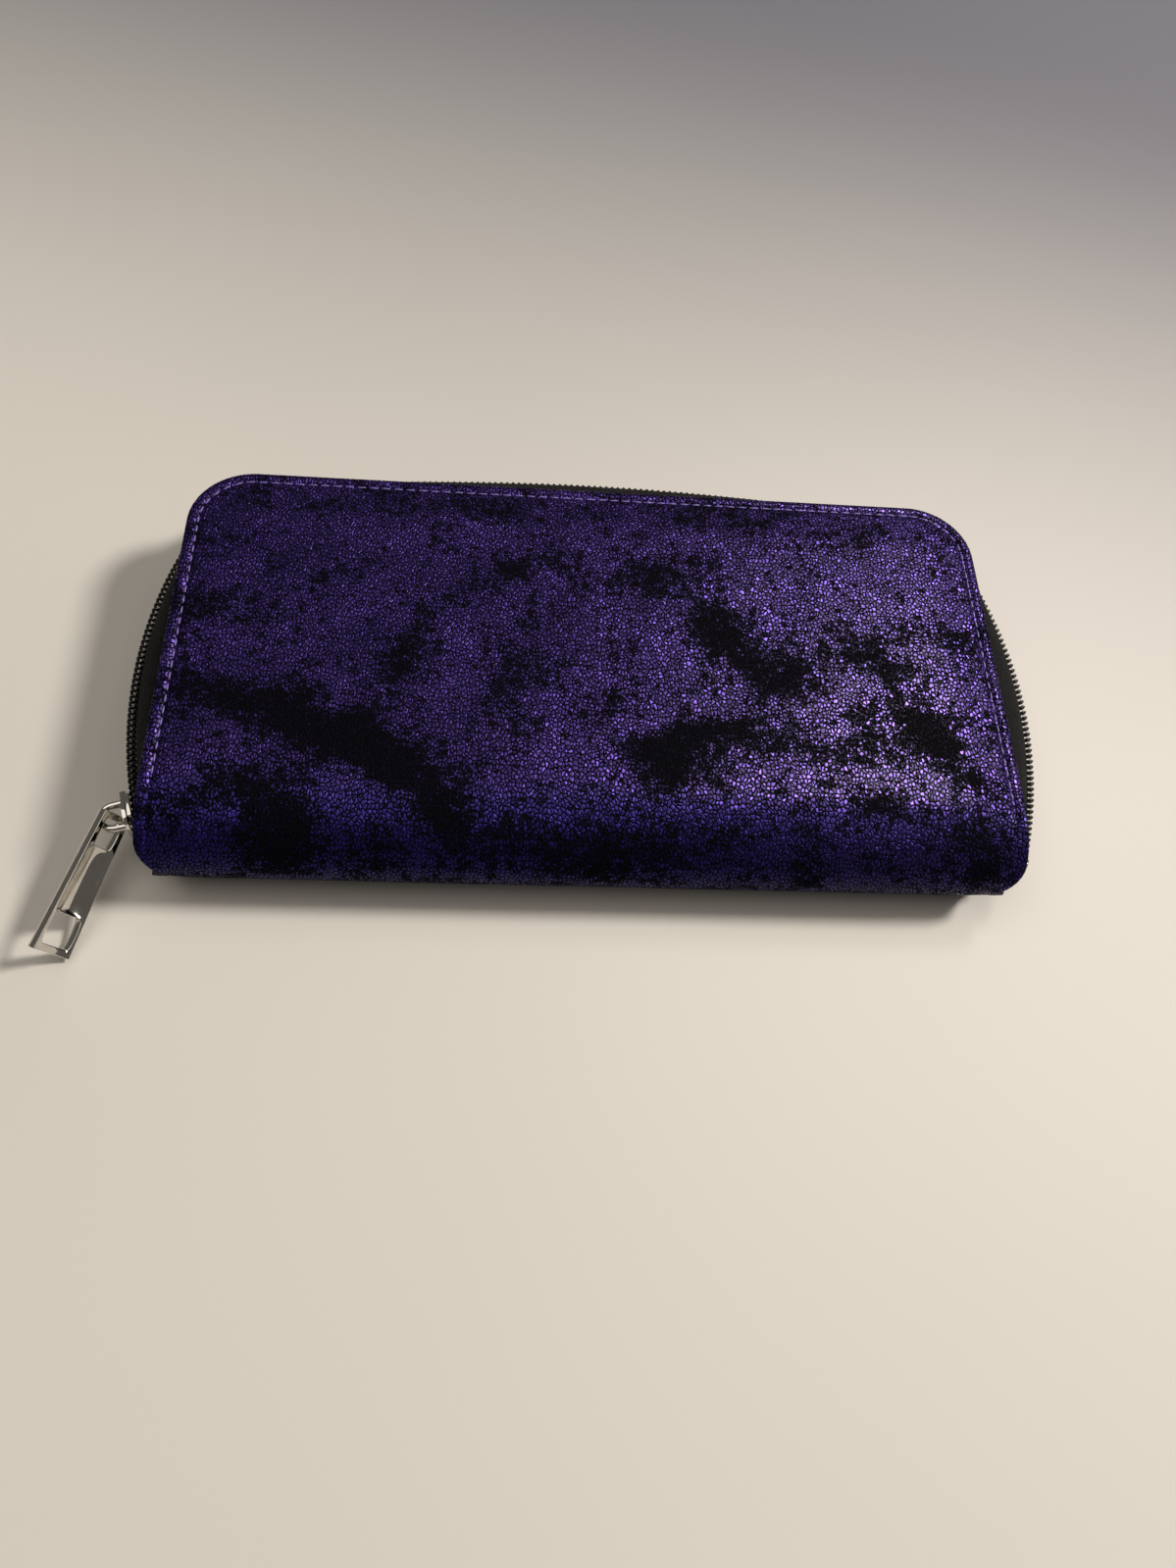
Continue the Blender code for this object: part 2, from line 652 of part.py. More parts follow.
def make_pull(collection, parent):
    start = -PULL_END_BAR / 2
    outline = tapered_outline(start, start + PULL_LENGTH, PULL_NARROW, PULL_WIDE, PULL_CORNER_RADIUS)
    slot = tapered_outline(
        PULL_END_BAR / 2, PULL_END_BAR / 2 + PULL_SLOT_LENGTH, PULL_SLOT_WIDTH, PULL_SLOT_WIDTH, 1.0 * MM
    )
    window = tapered_outline(
        start + PULL_WINDOW_START, start + PULL_WINDOW_START + PULL_WINDOW_LENGTH,
        PULL_WINDOW_WIDTH, PULL_WINDOW_WIDTH, 1.3 * MM
    )
    mesh = flat_plate("pull_tab", [outline, slot, window], -PULL_THICKNESS / 2, PULL_THICKNESS)
    mesh.transform(pull_frame())
    add_object("pull_tab", mesh, CHROME, collection, parent)


def coin_coil_y():
    """Distance of the coin zip's coil line from the wallet's centre."""
    return FAR_EDGE - POCKET_FAR_MARGIN + PIECE_GAP + COIN_TAPE_THICKNESS + PIECE_GAP + COIN_COIL_RADIUS


def make_divider(collection, parent):
    """The two coin pocket panels and the two halves of the zip along their far edge."""
    half = POCKET_LENGTH / 2
    near = SPINE_EDGE + POCKET_SPINE_MARGIN
    far = FAR_EDGE - POCKET_FAR_MARGIN
    offset = POCKET_HALF_GAP + POCKET_PANEL_THICKNESS / 2
    tape_y = far + PIECE_GAP + COIN_TAPE_THICKNESS / 2
    coil_y = coin_coil_y()
    coil_half = half - COIN_ZIP_MARGIN
    for label, side in (("lower", -1), ("upper", 1)):
        name = "coin_pocket_" + label + "_panel"
        profile = [
            (near, offset), (far - POCKET_FLARE_LENGTH, offset),
            (far - 1.5 * MM, offset + POCKET_FLARE), (far - 0.1 * MM, offset + POCKET_FLARE),
        ]
        rows = [[(x, y, MIDDLE + side * z) for x in (-half, half)] for y, z in profile]
        panel = sheet(name, rows, POCKET_PANEL_THICKNESS)
        add_object(name, panel, BLACK_CLOTH, collection, parent)
        name = "coin_zip_" + label + "_tape"
        bottom = COIN_COIL_OFFSET - COIN_COIL_RADIUS
        height = COIN_TAPE_HEIGHT - bottom
        tape = box_mesh(
            name, (0.0, tape_y, MIDDLE + side * (bottom + height / 2)),
            (2 * half - 4 * MM, COIN_TAPE_THICKNESS, height)
        )
        add_object(name, tape, BLACK_TAPE, collection, parent)
        name = "coin_zip_" + label + "_coil"
        level = MIDDLE + side * COIN_COIL_OFFSET
        points = [(-coil_half + 2 * coil_half * step / 8, coil_y, level) for step in range(9)]
        add_object(name, tube(name, points, COIN_COIL_RADIUS), BLACK_NYLON, collection, parent)
    for label, hand in (("left", -1), ("right", 1)):
        name = "coin_zip_stop_" + label
        x = hand * (coil_half + PIECE_GAP + COIN_STOP_LENGTH / 2)
        height = 2 * (COIN_COIL_OFFSET + COIN_COIL_RADIUS)
        stop = box_mesh(name, (x, coil_y, MIDDLE), (COIN_STOP_LENGTH, COIN_STOP_SIZE, height))
        add_object(name, stop, CHROME, collection, parent)


def coin_slider_frame():
    """World placing of the coin slider: +X points inward, against the bail, and +Y along the coin zip."""
    turn = Matrix.Rotation(math.radians(-90), 4, "Z")
    return Matrix.Translation((COIN_SLIDER_REST, coin_coil_y(), MIDDLE)) @ turn


def coin_slider_outside():
    return COIN_COIL_RADIUS + COIN_SLIDER_CLEARANCE + COIN_SLIDER_PLATE


def coin_bail_centre():
    return Vector((-coin_slider_outside() - COIN_BAIL_EYE_RADIUS - COIN_BAIL_WIRE_RADIUS * 0.9, 0.0, 0.0))


def make_coin_slider(collection, cutters, parent):
    place = coin_slider_frame()
    outside = coin_slider_outside()
    inside = COIN_COIL_RADIUS + PIECE_GAP + COIN_TAPE_THICKNESS + COIN_SLIDER_CLEARANCE
    outline = plate_outline(COIN_SLIDER_LENGTH, COIN_SLIDER_WIDTH, COIN_SLIDER_WIDTH * 0.8)
    outer = upright_plate("coin_slider_outer", outline, -outside, COIN_SLIDER_PLATE)
    inner_outline = plate_outline(COIN_SLIDER_LENGTH, COIN_SLIDER_WIDTH * 0.62, COIN_SLIDER_WIDTH * 0.5)
    inner = upright_plate("coin_slider_inner", inner_outline, inside, COIN_SLIDER_PLATE)
    overlap = COIN_SLIDER_PLATE / 2
    span = outside + inside - COIN_SLIDER_PLATE + 2 * overlap
    middle = (inside - outside + COIN_SLIDER_PLATE) / 2
    neck = box_mesh(
        "coin_slider_neck", (middle, -COIN_SLIDER_LENGTH * 0.25, 0.0),
        (span, COIN_SLIDER_LENGTH * 0.3, COIN_SLIDER_NECK)
    )
    meshes = [outer, inner, neck]
    for mesh in meshes:
        mesh.transform(place)
    hang_on(join_solids("coin_slider_body", meshes, CHROME, collection, cutters), parent)
    make_bail(
        "coin_slider_bail", place, -outside - PIECE_GAP - COIN_BAIL_WIRE_RADIUS * 0.2, coin_bail_centre(),
        COIN_BAIL_EYE_RADIUS, COIN_BAIL_WIRE_RADIUS, COIN_SLIDER_LENGTH * 0.27, collection, parent
    )


def make_coin_pull(collection, parent):
    start = -COIN_PULL_END_BAR / 2
    outline = tapered_outline(
        start, start + COIN_PULL_LENGTH, COIN_PULL_WIDTH * 0.85, COIN_PULL_WIDTH, 1.0 * MM, 4
    )
    slot = tapered_outline(
        COIN_PULL_END_BAR / 2, COIN_PULL_END_BAR / 2 + COIN_PULL_SLOT_LENGTH,
        COIN_PULL_SLOT_WIDTH, COIN_PULL_SLOT_WIDTH, 0.6 * MM, 4
    )
    mesh = flat_plate("coin_pull_tab", [outline, slot], -COIN_PULL_THICKNESS / 2, COIN_PULL_THICKNESS)
    turn = Matrix(((1, 0, 0, 0), (0, 0, -1, 0), (0, 1, 0, 0), (0, 0, 0, 1)))
    mesh.transform(Matrix.Translation(coin_slider_frame() @ coin_bail_centre()) @ turn)
    add_object("coin_pull_tab", mesh, CHROME, collection, parent)


def make_gusset(name, hand, collection):
    """The pleated cloth at one short end: one inward fold for each of the two note compartments."""
    near = SPINE_EDGE + GUSSET_NEAR_MARGIN
    far = FAR_EDGE - GUSSET_FAR_MARGIN
    lining_level = LINING_TOP + PIECE_GAP + GUSSET_THICKNESS / 2
    card_level = CARD_STACK_TOP + PIECE_GAP + GUSSET_THICKNESS / 2
    pocket_level = MIDDLE - POCKET_HALF_GAP - POCKET_PANEL_THICKNESS - PIECE_GAP - GUSSET_THICKNESS / 2
    steps = 6
    rows = []
    for step in range(steps + 1):
        y = near + (far - near) * step / steps
        depth = GUSSET_FOLD_DEPTH * (y - SPINE_EDGE) / (far - SPINE_EDGE)
        fold = GUSSET_EDGE - depth
        lower = [
            (GUSSET_EDGE, lining_level), (GUSSET_EDGE, card_level), (fold, card_level),
            (fold, pocket_level), (GUSSET_EDGE, pocket_level),
        ]
        upper = [(x, CLOSED_HEIGHT - z) for x, z in reversed(lower)]
        rows.append([(hand * x, y, z) for x, z in lower + upper])
    add_object(name, sheet(name, rows, GUSSET_THICKNESS), BLACK_CLOTH, collection)


def main():
    clear_scene()
    parts = get_collection("zip_around_wallet")
    cutters = get_collection("wallet_cutters", helpers=True)
    spine_line = (0.0, SPINE_EDGE, MIDDLE)
    lid = add_axis("lid_hinge_axis", spine_line, parts)
    divider = add_axis("divider_hinge_axis", spine_line, parts)
    travel_centre = side_centre(ZIP_BULGE_LEFT, -1)
    travel = add_axis("slider_travel_axis", (*travel_centre, MIDDLE), parts)
    pull = add_axis("pull_hinge_axis", slider_frame() @ bail_centre(), parts, travel)
    coin_guide = add_axis("coin_slider_guide", coin_slider_frame().translation, parts, divider)
    coin_pull = add_axis("coin_pull_hinge_axis", coin_slider_frame() @ coin_bail_centre(), parts, coin_guide)
    make_cover("bottom_cover", -1, parts, cutters)
    make_cover("top_cover", 1, parts, cutters, lid)
    make_flat_layers("bottom", -1, parts)
    make_flat_layers("top", 1, parts, lid)
    make_zip_half("lower", -1, parts)
    make_zip_half("upper", 1, parts, lid)
    make_slider(parts, cutters, travel)
    make_pull(parts, pull)
    make_divider(parts, divider)
    make_coin_slider(parts, cutters, coin_guide)
    make_coin_pull(parts, coin_pull)
    make_gusset("gusset_left", -1, parts)
    make_gusset("gusset_right", 1, parts)


main()
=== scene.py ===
"""A long zip-around wallet in purple foil leather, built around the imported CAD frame.

Every length is in metres, in the frame of the CAD: the origin is the centre of the lower cover's
flat outer face, +X runs along the wallet, +Y points away from the spine and +Z is up.
"""

import math

import bmesh
import bpy
from bpy.props import FloatProperty, FloatVectorProperty, IntProperty, PointerProperty
from mathutils import Matrix, Vector, noise


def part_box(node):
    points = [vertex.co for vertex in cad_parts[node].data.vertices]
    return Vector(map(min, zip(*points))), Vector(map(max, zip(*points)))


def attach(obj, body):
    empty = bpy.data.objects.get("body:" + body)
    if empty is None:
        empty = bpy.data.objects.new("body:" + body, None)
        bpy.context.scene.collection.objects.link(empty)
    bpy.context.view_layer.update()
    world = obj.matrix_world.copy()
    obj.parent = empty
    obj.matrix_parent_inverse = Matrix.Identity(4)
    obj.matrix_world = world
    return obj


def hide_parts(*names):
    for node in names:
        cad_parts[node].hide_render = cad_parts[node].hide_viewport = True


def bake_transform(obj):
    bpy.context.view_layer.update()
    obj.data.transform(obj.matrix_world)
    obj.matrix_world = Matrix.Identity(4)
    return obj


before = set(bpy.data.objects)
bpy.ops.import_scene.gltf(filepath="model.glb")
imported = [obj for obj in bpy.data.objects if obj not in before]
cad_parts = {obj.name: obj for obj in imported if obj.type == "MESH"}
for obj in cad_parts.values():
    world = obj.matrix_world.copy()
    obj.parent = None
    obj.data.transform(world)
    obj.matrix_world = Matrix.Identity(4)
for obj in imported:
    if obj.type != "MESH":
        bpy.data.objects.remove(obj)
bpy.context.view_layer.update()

bl_info = {
    "name": "Zip-Around Wallet",
    "version": (1, 0, 0),
    "blender": (4, 5, 0),
    "location": "3D View > Sidebar > Wallet",
    "description": "Builds a foil leather zip-around wallet around its packed frame",
    "category": "Add Mesh",
}

MM = 0.001

# The covers, which follow the frame's own solids
COVER_LOW, COVER_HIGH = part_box("bottom_cover")
HALF_LENGTH, FAR_EDGE = COVER_HIGH[0], COVER_HIGH[1]
SPINE_EDGE = COVER_LOW[1]
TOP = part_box("top_cover")[1][2]
MIDDLE = TOP / 2
FAR_CORNER = 15.0 * MM
SPINE_CORNER = 3.2 * MM
SPINE_TUCK = 3.9 * MM
SPINE_DEPTH = 16.0 * MM
SPINE_START = SPINE_EDGE + SPINE_DEPTH
LEATHER = 1.2 * MM
EDGE_STEPS = [
    step * MM for step in (0.0, 0.05, 0.16, 0.32, 0.6, 1.0, 1.5, 2.0, 2.4, 2.7, 3.0, 3.4, 4.0, 5.0, 6.4, 8.2, 10.4)
]

# The closed main zip
BULGE_LEFT = 7.3 * MM
BULGE_RIGHT = 9.3 * MM
BULGE_FAR = 9.6 * MM
SIDE_RADIUS = 115.0 * MM
FAR_RADIUS = 533.0 * MM
CORNER_RADIUS = 17.0 * MM
SIDE_PEAK = 48.0 * MM
COIL_END = 7.5 * MM
TAPE_END = 4.6 * MM
COIL_OFFSET = 1.95 * MM
COIL_SIZE = 1.15 * MM
COIL_TALL = 1.5 * MM
TAPE_SETBACK = 1.75 * MM
TAPE_UPRIGHT = 5.3 * MM
TAPE_THICKNESS = 0.55 * MM

# The main slider and its pull
SLIDER_REST = 14.1 * MM
SLIDER_OUTSIDE = 2.7 * MM
SLIDER_INSIDE = 2.6 * MM
LOOP_REACH = 2.4 * MM

# The coin pocket and its zip
COIN_LINE = 38.6 * MM
COIN_COIL = 0.8 * MM
COIN_TALL = 1.05 * MM
COIN_HALF = 79.0 * MM
COIN_REST = -74.0 * MM
COIN_OUTSIDE = 1.85 * MM
COIN_INSIDE = 1.95 * MM
COIN_LOOP_REACH = 1.65 * MM

# Cloth and panels
CLOTH = 0.55 * MM
GUSSET_CLOTH = 0.4 * MM
GUSSET_EDGE = 88.6 * MM
GUSSET_NEAR, GUSSET_FAR = -38.0 * MM, 22.0 * MM
PANEL = 0.5 * MM

# The camera
CAMERA_PLACE = (-0.02381, -0.15160, 0.24411)
CAMERA_FORWARD = (0.08780, 0.47457, -0.87583)
CAMERA_UP = (-0.03104, 0.88010, 0.47377)
SENSOR = 36.0
FOCAL_LENGTH = SENSOR * 1201 / 1599

COVERS = (("bottom", "base", 1), ("top", "lid", -1))
ZIP_HALVES = (("lower", "base", -1), ("upper", "lid", 1))
ENDS = (("left", -1), ("right", 1))


# ---------------------------------------------------------------- sizes and colours

def length_property(name, description, default, low, high):
    return FloatProperty(
        name=name, description=description, default=default * MM, min=low * MM, max=high * MM, unit="LENGTH"
    )


def colour_property(name, description, default):
    return FloatVectorProperty(
        name=name, description=description, default=default, size=3, min=0.0, max=1.0, subtype="COLOR"
    )


class WalletSizes(bpy.types.PropertyGroup):
    """Sizes that can be changed without changing the frame, their defaults given here in millimetres."""

    crown: length_property("Cover Crown", "How far the padding lifts the middle of the upper cover", 0.7, 0.0, 3.0)
    seam_inset: length_property("Seam Inset", "Distance of the cover's seam from its edge", 2.7, 1.0, 6.0)
    seam_depth: length_property("Seam Depth", "How deep the seam presses into the leather", 0.28, 0.0, 0.6)
    stitch_pitch: length_property("Stitch Pitch", "Distance between the starts of two stitches", 2.9, 1.0, 6.0)
    thread_radius: length_property("Thread Radius", "Half the thickness of the sewing thread", 0.23, 0.1, 0.6)
    coil_pitch: length_property("Coil Pitch", "Distance between two teeth of the main zip", 1.5, 0.8, 4.0)
    coin_coil_pitch: length_property("Coin Coil Pitch", "Distance between two teeth of the coin zip", 1.15, 0.6, 4.0)
    pebble: length_property("Foil Pebble", "Width of one grain of the crackled foil", 0.96, 0.3, 3.0)
    seed: IntProperty(name="Seed", description="Seed of the undulation in the covers", default=4, min=0)


class WalletColours(bpy.types.PropertyGroup):
    """Colours of the finishes, in linear light."""

    foil: colour_property("Foil", "The violet metal foil", (0.039, 0.0215, 0.126))
    # Painted reflection: this blue is painted on the foil round the spine's curve, for the cool surroundings it
    # reflects there; the grains also use it, darker, as a tone of their own.
    foil_blue: colour_property("Foil Blue", "The foil where it turns blue, along the spine", (0.020, 0.0135, 0.120))
    base: colour_property("Base Leather", "The black leather under the foil", (0.0012, 0.0011, 0.0022))
    thread: colour_property("Thread", "The seam thread", (0.15, 0.09, 0.38))
    dark_thread: colour_property("Dark Thread", "The card rows' thread", (0.022, 0.018, 0.034))
    lining: colour_property("Lining", "The lining cloth", (0.028, 0.027, 0.030))
    panel: colour_property("Card Panel", "The card rows' black panel leather", (0.024, 0.023, 0.026))
    tape: colour_property("Zip Tape", "The woven zip tape", (0.0042, 0.0042, 0.0040))
    coil: colour_property("Zip Coil", "The nylon coil", (0.0030, 0.0030, 0.0030))
    metal: colour_property("Metal", "The plated slider and pull", (0.66, 0.63, 0.58))
    board: colour_property("Board", "The grey fibre board", (0.20, 0.18, 0.15))
    floor: colour_property("Floor", "The pale table top", (0.70, 0.655, 0.585))


def sizes():
    return bpy.context.scene.wallet_sizes


def colours():
    return bpy.context.scene.wallet_colours


# ---------------------------------------------------------------- meshes

def add_object(name, data):
    obj = bpy.data.objects.new(name, data)
    bpy.context.scene.collection.objects.link(obj)
    return obj


def mesh_from(name, points, faces, uvs=None, edges=()):
    """A mesh from points and faces, with one UV place for each point where they are given."""
    mesh = bpy.data.meshes.new(name)
    mesh.from_pydata(points, list(edges), faces)
    if uvs is not None:
        layer = mesh.uv_layers.new(name="UVMap")
        for loop in mesh.loops:
            layer.data[loop.index].uv = uvs[loop.vertex_index]
    return mesh


def apply_modifiers(obj):
    """Replaces the object's mesh by what its modifiers make of it, and removes them."""
    bpy.context.view_layer.update()
    graph = bpy.context.evaluated_depsgraph_get()
    mesh = bpy.data.meshes.new_from_object(obj.evaluated_get(graph))
    obj.modifiers.clear()
    old = obj.data
    obj.data = mesh
    mesh.name = obj.name
    bpy.data.meshes.remove(old)


def tidy_mesh(mesh, weld=None, angle=None):
    """Welds the doubles, turns the faces outward and shades the mesh."""
    work = bmesh.new()
    work.from_mesh(mesh)
    if weld:
        bmesh.ops.remove_doubles(work, verts=work.verts, dist=weld)
    bmesh.ops.recalc_face_normals(work, faces=work.faces)
    work.to_mesh(mesh)
    work.free()
    mesh.shade_smooth()
    if angle is not None:
        mesh.set_sharp_from_angle(angle=math.radians(angle))
    return mesh


def bevelled(name, work, edges, bevel, segments, angle):
    """A mesh from a bmesh whose given edges are rounded."""
    bmesh.ops.bevel(work, geom=edges, offset=bevel, segments=segments, profile=0.5, affect="EDGES")
    mesh = bpy.data.meshes.new(name)
    work.to_mesh(mesh)
    work.free()
    return tidy_mesh(mesh, angle=angle)


def lengths_along(points):
    total = [0.0]
    for before, after in zip(points, points[1:]):
        total.append(total[-1] + (Vector(after) - Vector(before)).length)
    return total


def grid_faces(rows, width, under=0):
    """Faces over rows of points and, where under is given, over the same rows that many points on."""
    faces = []
    for corner in (row * width + column for row in range(rows - 1) for column in range(width - 1)):
        faces.append((corner, corner + 1, corner + width + 1, corner + width))
        if under:
            low = under + corner
            faces.append((low, low + width, low + width + 1, low + 1))
    return faces


def ring_faces(rings, sides):
    """Faces between rings of points, one ring after the other."""
    faces = []
    for here in range(0, (rings - 1) * sides, sides):
        for step in range(sides):
            other = (step + 1) % sides
            faces.append((here + step, here + other, here + sides + other, here + sides + step))
    return faces


def capped_tube(name, verts, sides):
    """A closed tube from rings of points, with a flat cap at each end."""
    rings = len(verts) // sides
    last = (rings - 1) * sides
    caps = [tuple(range(sides)), tuple(range(last, last + sides))]
    return tidy_mesh(mesh_from(name, verts, ring_faces(rings, sides) + caps))


def cloth_mesh(name, rows, thickness):
    """A closed skin around rows of points, its UV map in metres: along the rows' length and across."""
    width = len(rows[0])
    along = lengths_along([row[width // 2] for row in rows])
    across = lengths_along(rows[len(rows) // 2])
    points = [point for row in rows for point in row]
    uvs = [(u, v) for u in along for v in across]
    obj = add_object(name, mesh_from(name, points, grid_faces(len(rows), width), uvs))
    skin = obj.modifiers.new("thickness", "SOLIDIFY")
    skin.thickness = thickness
    skin.offset = 0.0
    skin.use_even_offset = True
    apply_modifiers(obj)
    tidy_mesh(obj.data, angle=50)
    return obj


def tube_mesh(name, points, radii, sides):
    """A round tube along points, with a radius at each of them and domed ends."""
    path = [Vector(point) for point in points]
    verts = []
    for number, place in enumerate(path):
        tangent = (path[min(number + 1, len(path) - 1)] - path[max(number - 1, 0)]).normalized()
        side = tangent.cross(Vector((0.0, 0.0, 1.0))).normalized()
        top = side.cross(tangent)
        for step in range(sides):
            angle = 2 * math.pi * step / sides
            verts.append(place + (side * math.cos(angle) + top * math.sin(angle)) * radii[number])
    faces = ring_faces(len(path), sides)
    ends = ((0, path[0] - path[1], radii[0]), (len(path) - 1, path[-1] - path[-2], radii[-1]))
    for number, outward, radius in ends:
        faces += [(number * sides + step, number * sides + (step + 1) % sides, len(verts)) for step in range(sides)]
        verts.append(path[number] + outward.normalized() * radius * 0.5)
    return tidy_mesh(mesh_from(name, verts, faces), angle=60)


def rounded_box(name, size, bevel, segments=2):
    """A box about the origin with rounded edges."""
    work = bmesh.new()
    bmesh.ops.create_cube(work, size=1.0)
    bmesh.ops.scale(work, vec=size, verts=work.verts)
    return bevelled(name, work, work.edges, bevel, segments, 50)


def plate_with_edge(name, outline, thickness, bevel, dome=0.0):
    """A plate in its own XY plane, centred on z = 0, with rounded rims and a domed upper face."""
    work = bmesh.new()
    lower, upper = ([work.verts.new((x, y, z)) for x, y in outline] for z in (-thickness / 2, thickness / 2))
    work.faces.new(lower[::-1])
    top = work.faces.new(upper)
    rims = []
    for step in range(len(outline)):
        other = (step + 1) % len(outline)
        face = work.faces.new((lower[step], lower[other], upper[other], upper[step]))
        rims += [edge for ring in (lower, upper) for edge in face.edges if all(vert in ring for vert in edge.verts)]
    if dome:
        bmesh.ops.inset_region(work, faces=[top], thickness=bevel * 2.5, depth=dome)
    return bevelled(name, work, rims, bevel, 3, 40)


def join_meshes(name, meshes):
    """One mesh from several closed ones."""
    work = bmesh.new()
    for mesh in meshes:
        work.from_mesh(mesh)
        bpy.data.meshes.remove(mesh)
    joined = bpy.data.meshes.new(name)
    work.to_mesh(joined)
    work.free()
    joined.shade_smooth()
    joined.set_sharp_from_angle(angle=math.radians(45))
    return joined


def arc(centre, radius, start, end, steps):
    angles = [math.radians(start + (end - start) * step / steps) for step in range(steps + 1)]
    return [(centre[0] + radius * math.cos(angle), centre[1] + radius * math.sin(angle)) for angle in angles]


def chain(corners, parts):
    """Points along a chain of corners, with a number of parts for each stretch."""
    points = []
    for first, second, count in zip(corners, corners[1:], parts):
        points += [first.lerp(second, part / count) for part in range(count)]
    return points + [corners[-1]]


def soften(row, rounds):
    """Rounds the corners of a line of points and keeps its ends."""
    points = [Vector(point) for point in row]
    for _ in range(rounds):
        inner = [a * 0.25 + b * 0.5 + c * 0.25 for a, b, c in zip(points, points[1:], points[2:])]
        points = [points[0], *inner, points[-1]]
    return points


def smooth_step(value, low, high):
    share = min(max((value - low) / (high - low), 0.0), 1.0)
    return share * share * (3 - 2 * share)


def rounded_half(distance, thickness):
    """Half a sheet's thickness at a distance from its rim, and how far it has turned from the rim."""
    turned = min(distance / (thickness / 2), 1.0)
    return thickness / 2 * math.sqrt(1 - (1 - turned) ** 2), turned


# ---------------------------------------------------------------- the wallet's own curves

def corner_cut(radius, depth):
    """How far a rounded corner stands back, at a depth into it."""
    return radius - math.sqrt(max(radius ** 2 - depth ** 2, 0.0)) if depth > 0 else 0.0


def half_length_at(y):
    """Half the cover's length at a distance from the spine, with its rounded corners."""
    far, near = y - FAR_EDGE + FAR_CORNER, SPINE_EDGE + SPINE_CORNER - y
    return HALF_LENGTH - corner_cut(FAR_CORNER, far) - corner_cut(SPINE_CORNER, near)


def edge_distance(x, y):
    """Distance of a plan point inside the cover from the cover's three free edges."""
    core_x, core_y = HALF_LENGTH - FAR_CORNER, FAR_EDGE - FAR_CORNER
    if abs(x) > core_x and y > core_y:
        return max(FAR_CORNER - math.hypot(abs(x) - core_x, y - core_y), 0.0)
    return max(min(half_length_at(y) - abs(x), FAR_EDGE - y), 0.0)


def cover_lift(x, y, distance, upper):
    """How far the leather's face stands off its flat level, from its padding, its seam and its rim."""
    values = sizes()
    groove = math.exp(-((distance - values.seam_inset) / (0.55 * MM)) ** 2) * values.seam_depth
    if not upper:
        return -0.25 * MM * (1 - smooth_step(distance, values.seam_inset, 9 * MM)) - groove * 0.6
    rim = math.exp(-((distance - 1.3 * MM) / (0.8 * MM)) ** 2) * 0.12 * MM
    pad = smooth_step(distance, values.seam_inset + 0.2 * MM, 13 * MM)
    along = 1 - (x / HALF_LENGTH) ** 2 * 0.35
    wave = noise.noise(Vector((x * 22, y * 26, values.seed))) * 0.28 * MM
    wave += noise.noise(Vector((x * 70, y * 80, values.seed + 5.0))) * 0.07 * MM
    return pad * (values.crown * along + wave) + rim - groove


def section_rows():
    """The wallet's outer section from the lower far edge, round the spine, to the upper far edge.

    Each entry is (y, z, normal y, normal z, which face): -1 below, 0 round the spine, 1 above.
    """
    offsets = list(EDGE_STEPS)
    step, turns = 2.0 * MM, 30
    while offsets[-1] + step < FAR_EDGE - SPINE_START - MM:
        offsets.append(offsets[-1] + step)
    lower = [(FAR_EDGE - offset, 0.0, 0.0, -1.0, -1) for offset in offsets]
    spine = []
    for turn in range(turns + 1):
        angle = math.pi * turn / turns
        normal = Vector((-math.sin(angle) / SPINE_DEPTH, -math.cos(angle) / MIDDLE)).normalized()
        y, z = SPINE_START - SPINE_DEPTH * math.sin(angle), MIDDLE - MIDDLE * math.cos(angle)
        spine.append((y, z, normal.x, normal.y, 0))
    return lower + spine + [(row[0], TOP, 0.0, 1.0, 1) for row in reversed(lower)]


def circles_meet(first, first_radius, second, second_radius, way):
    between = second - first
    along = (between.length ** 2 + first_radius ** 2 - second_radius ** 2) / (2 * between.length)
    across = math.sqrt(max(first_radius ** 2 - along ** 2, 0.0))
    unit = between.normalized()
    return first + unit * along + Vector((-unit.y, unit.x)) * across * way


def zip_arcs():
    """Centres of the arcs along the closed zip: left side, left corner, far side, right corner, right side."""
    left, right = (
        Vector((hand * (HALF_LENGTH + bulge - SIDE_RADIUS), SPINE_EDGE + SIDE_PEAK))
        for hand, bulge in ((-1, BULGE_LEFT), (1, BULGE_RIGHT))
    )
    far = Vector((0.0, FAR_EDGE + BULGE_FAR - FAR_RADIUS))
    left_corner, right_corner = (
        circles_meet(side, SIDE_RADIUS - CORNER_RADIUS, far, FAR_RADIUS - CORNER_RADIUS, way)
        for side, way in ((left, -1), (right, 1))
    )
    return left, left_corner, far, right_corner, right


def angle_of(point, centre):
    return math.degrees(math.atan2(point[1] - centre[1], point[0] - centre[0]))


def zip_path(end_margin, spacing=2.5 * MM):
    """Plan points along the closed zip, each with its outward normal."""
    centres = zip_arcs()
    left, left_corner, far, right_corner, right = centres
    end_turn = math.degrees(math.asin((SPINE_EDGE + end_margin - left.y) / SIDE_RADIUS))
    joins = [
        180 - end_turn, angle_of(left_corner, left) % 360, angle_of(left_corner, far), angle_of(right_corner, far),
        angle_of(right_corner, right), end_turn,
    ]
    radii = (SIDE_RADIUS, CORNER_RADIUS, FAR_RADIUS, CORNER_RADIUS, SIDE_RADIUS)
    path = []
    for centre, radius, start, end in zip(centres, radii, joins, joins[1:]):
        steps = max(round(math.radians(abs(end - start)) * radius / spacing), 6)
        for point in arc(centre, radius, start, end, steps)[1 if path else 0:]:
            place = Vector(point)
            path.append((place, (place - centre).normalized()))
    return path


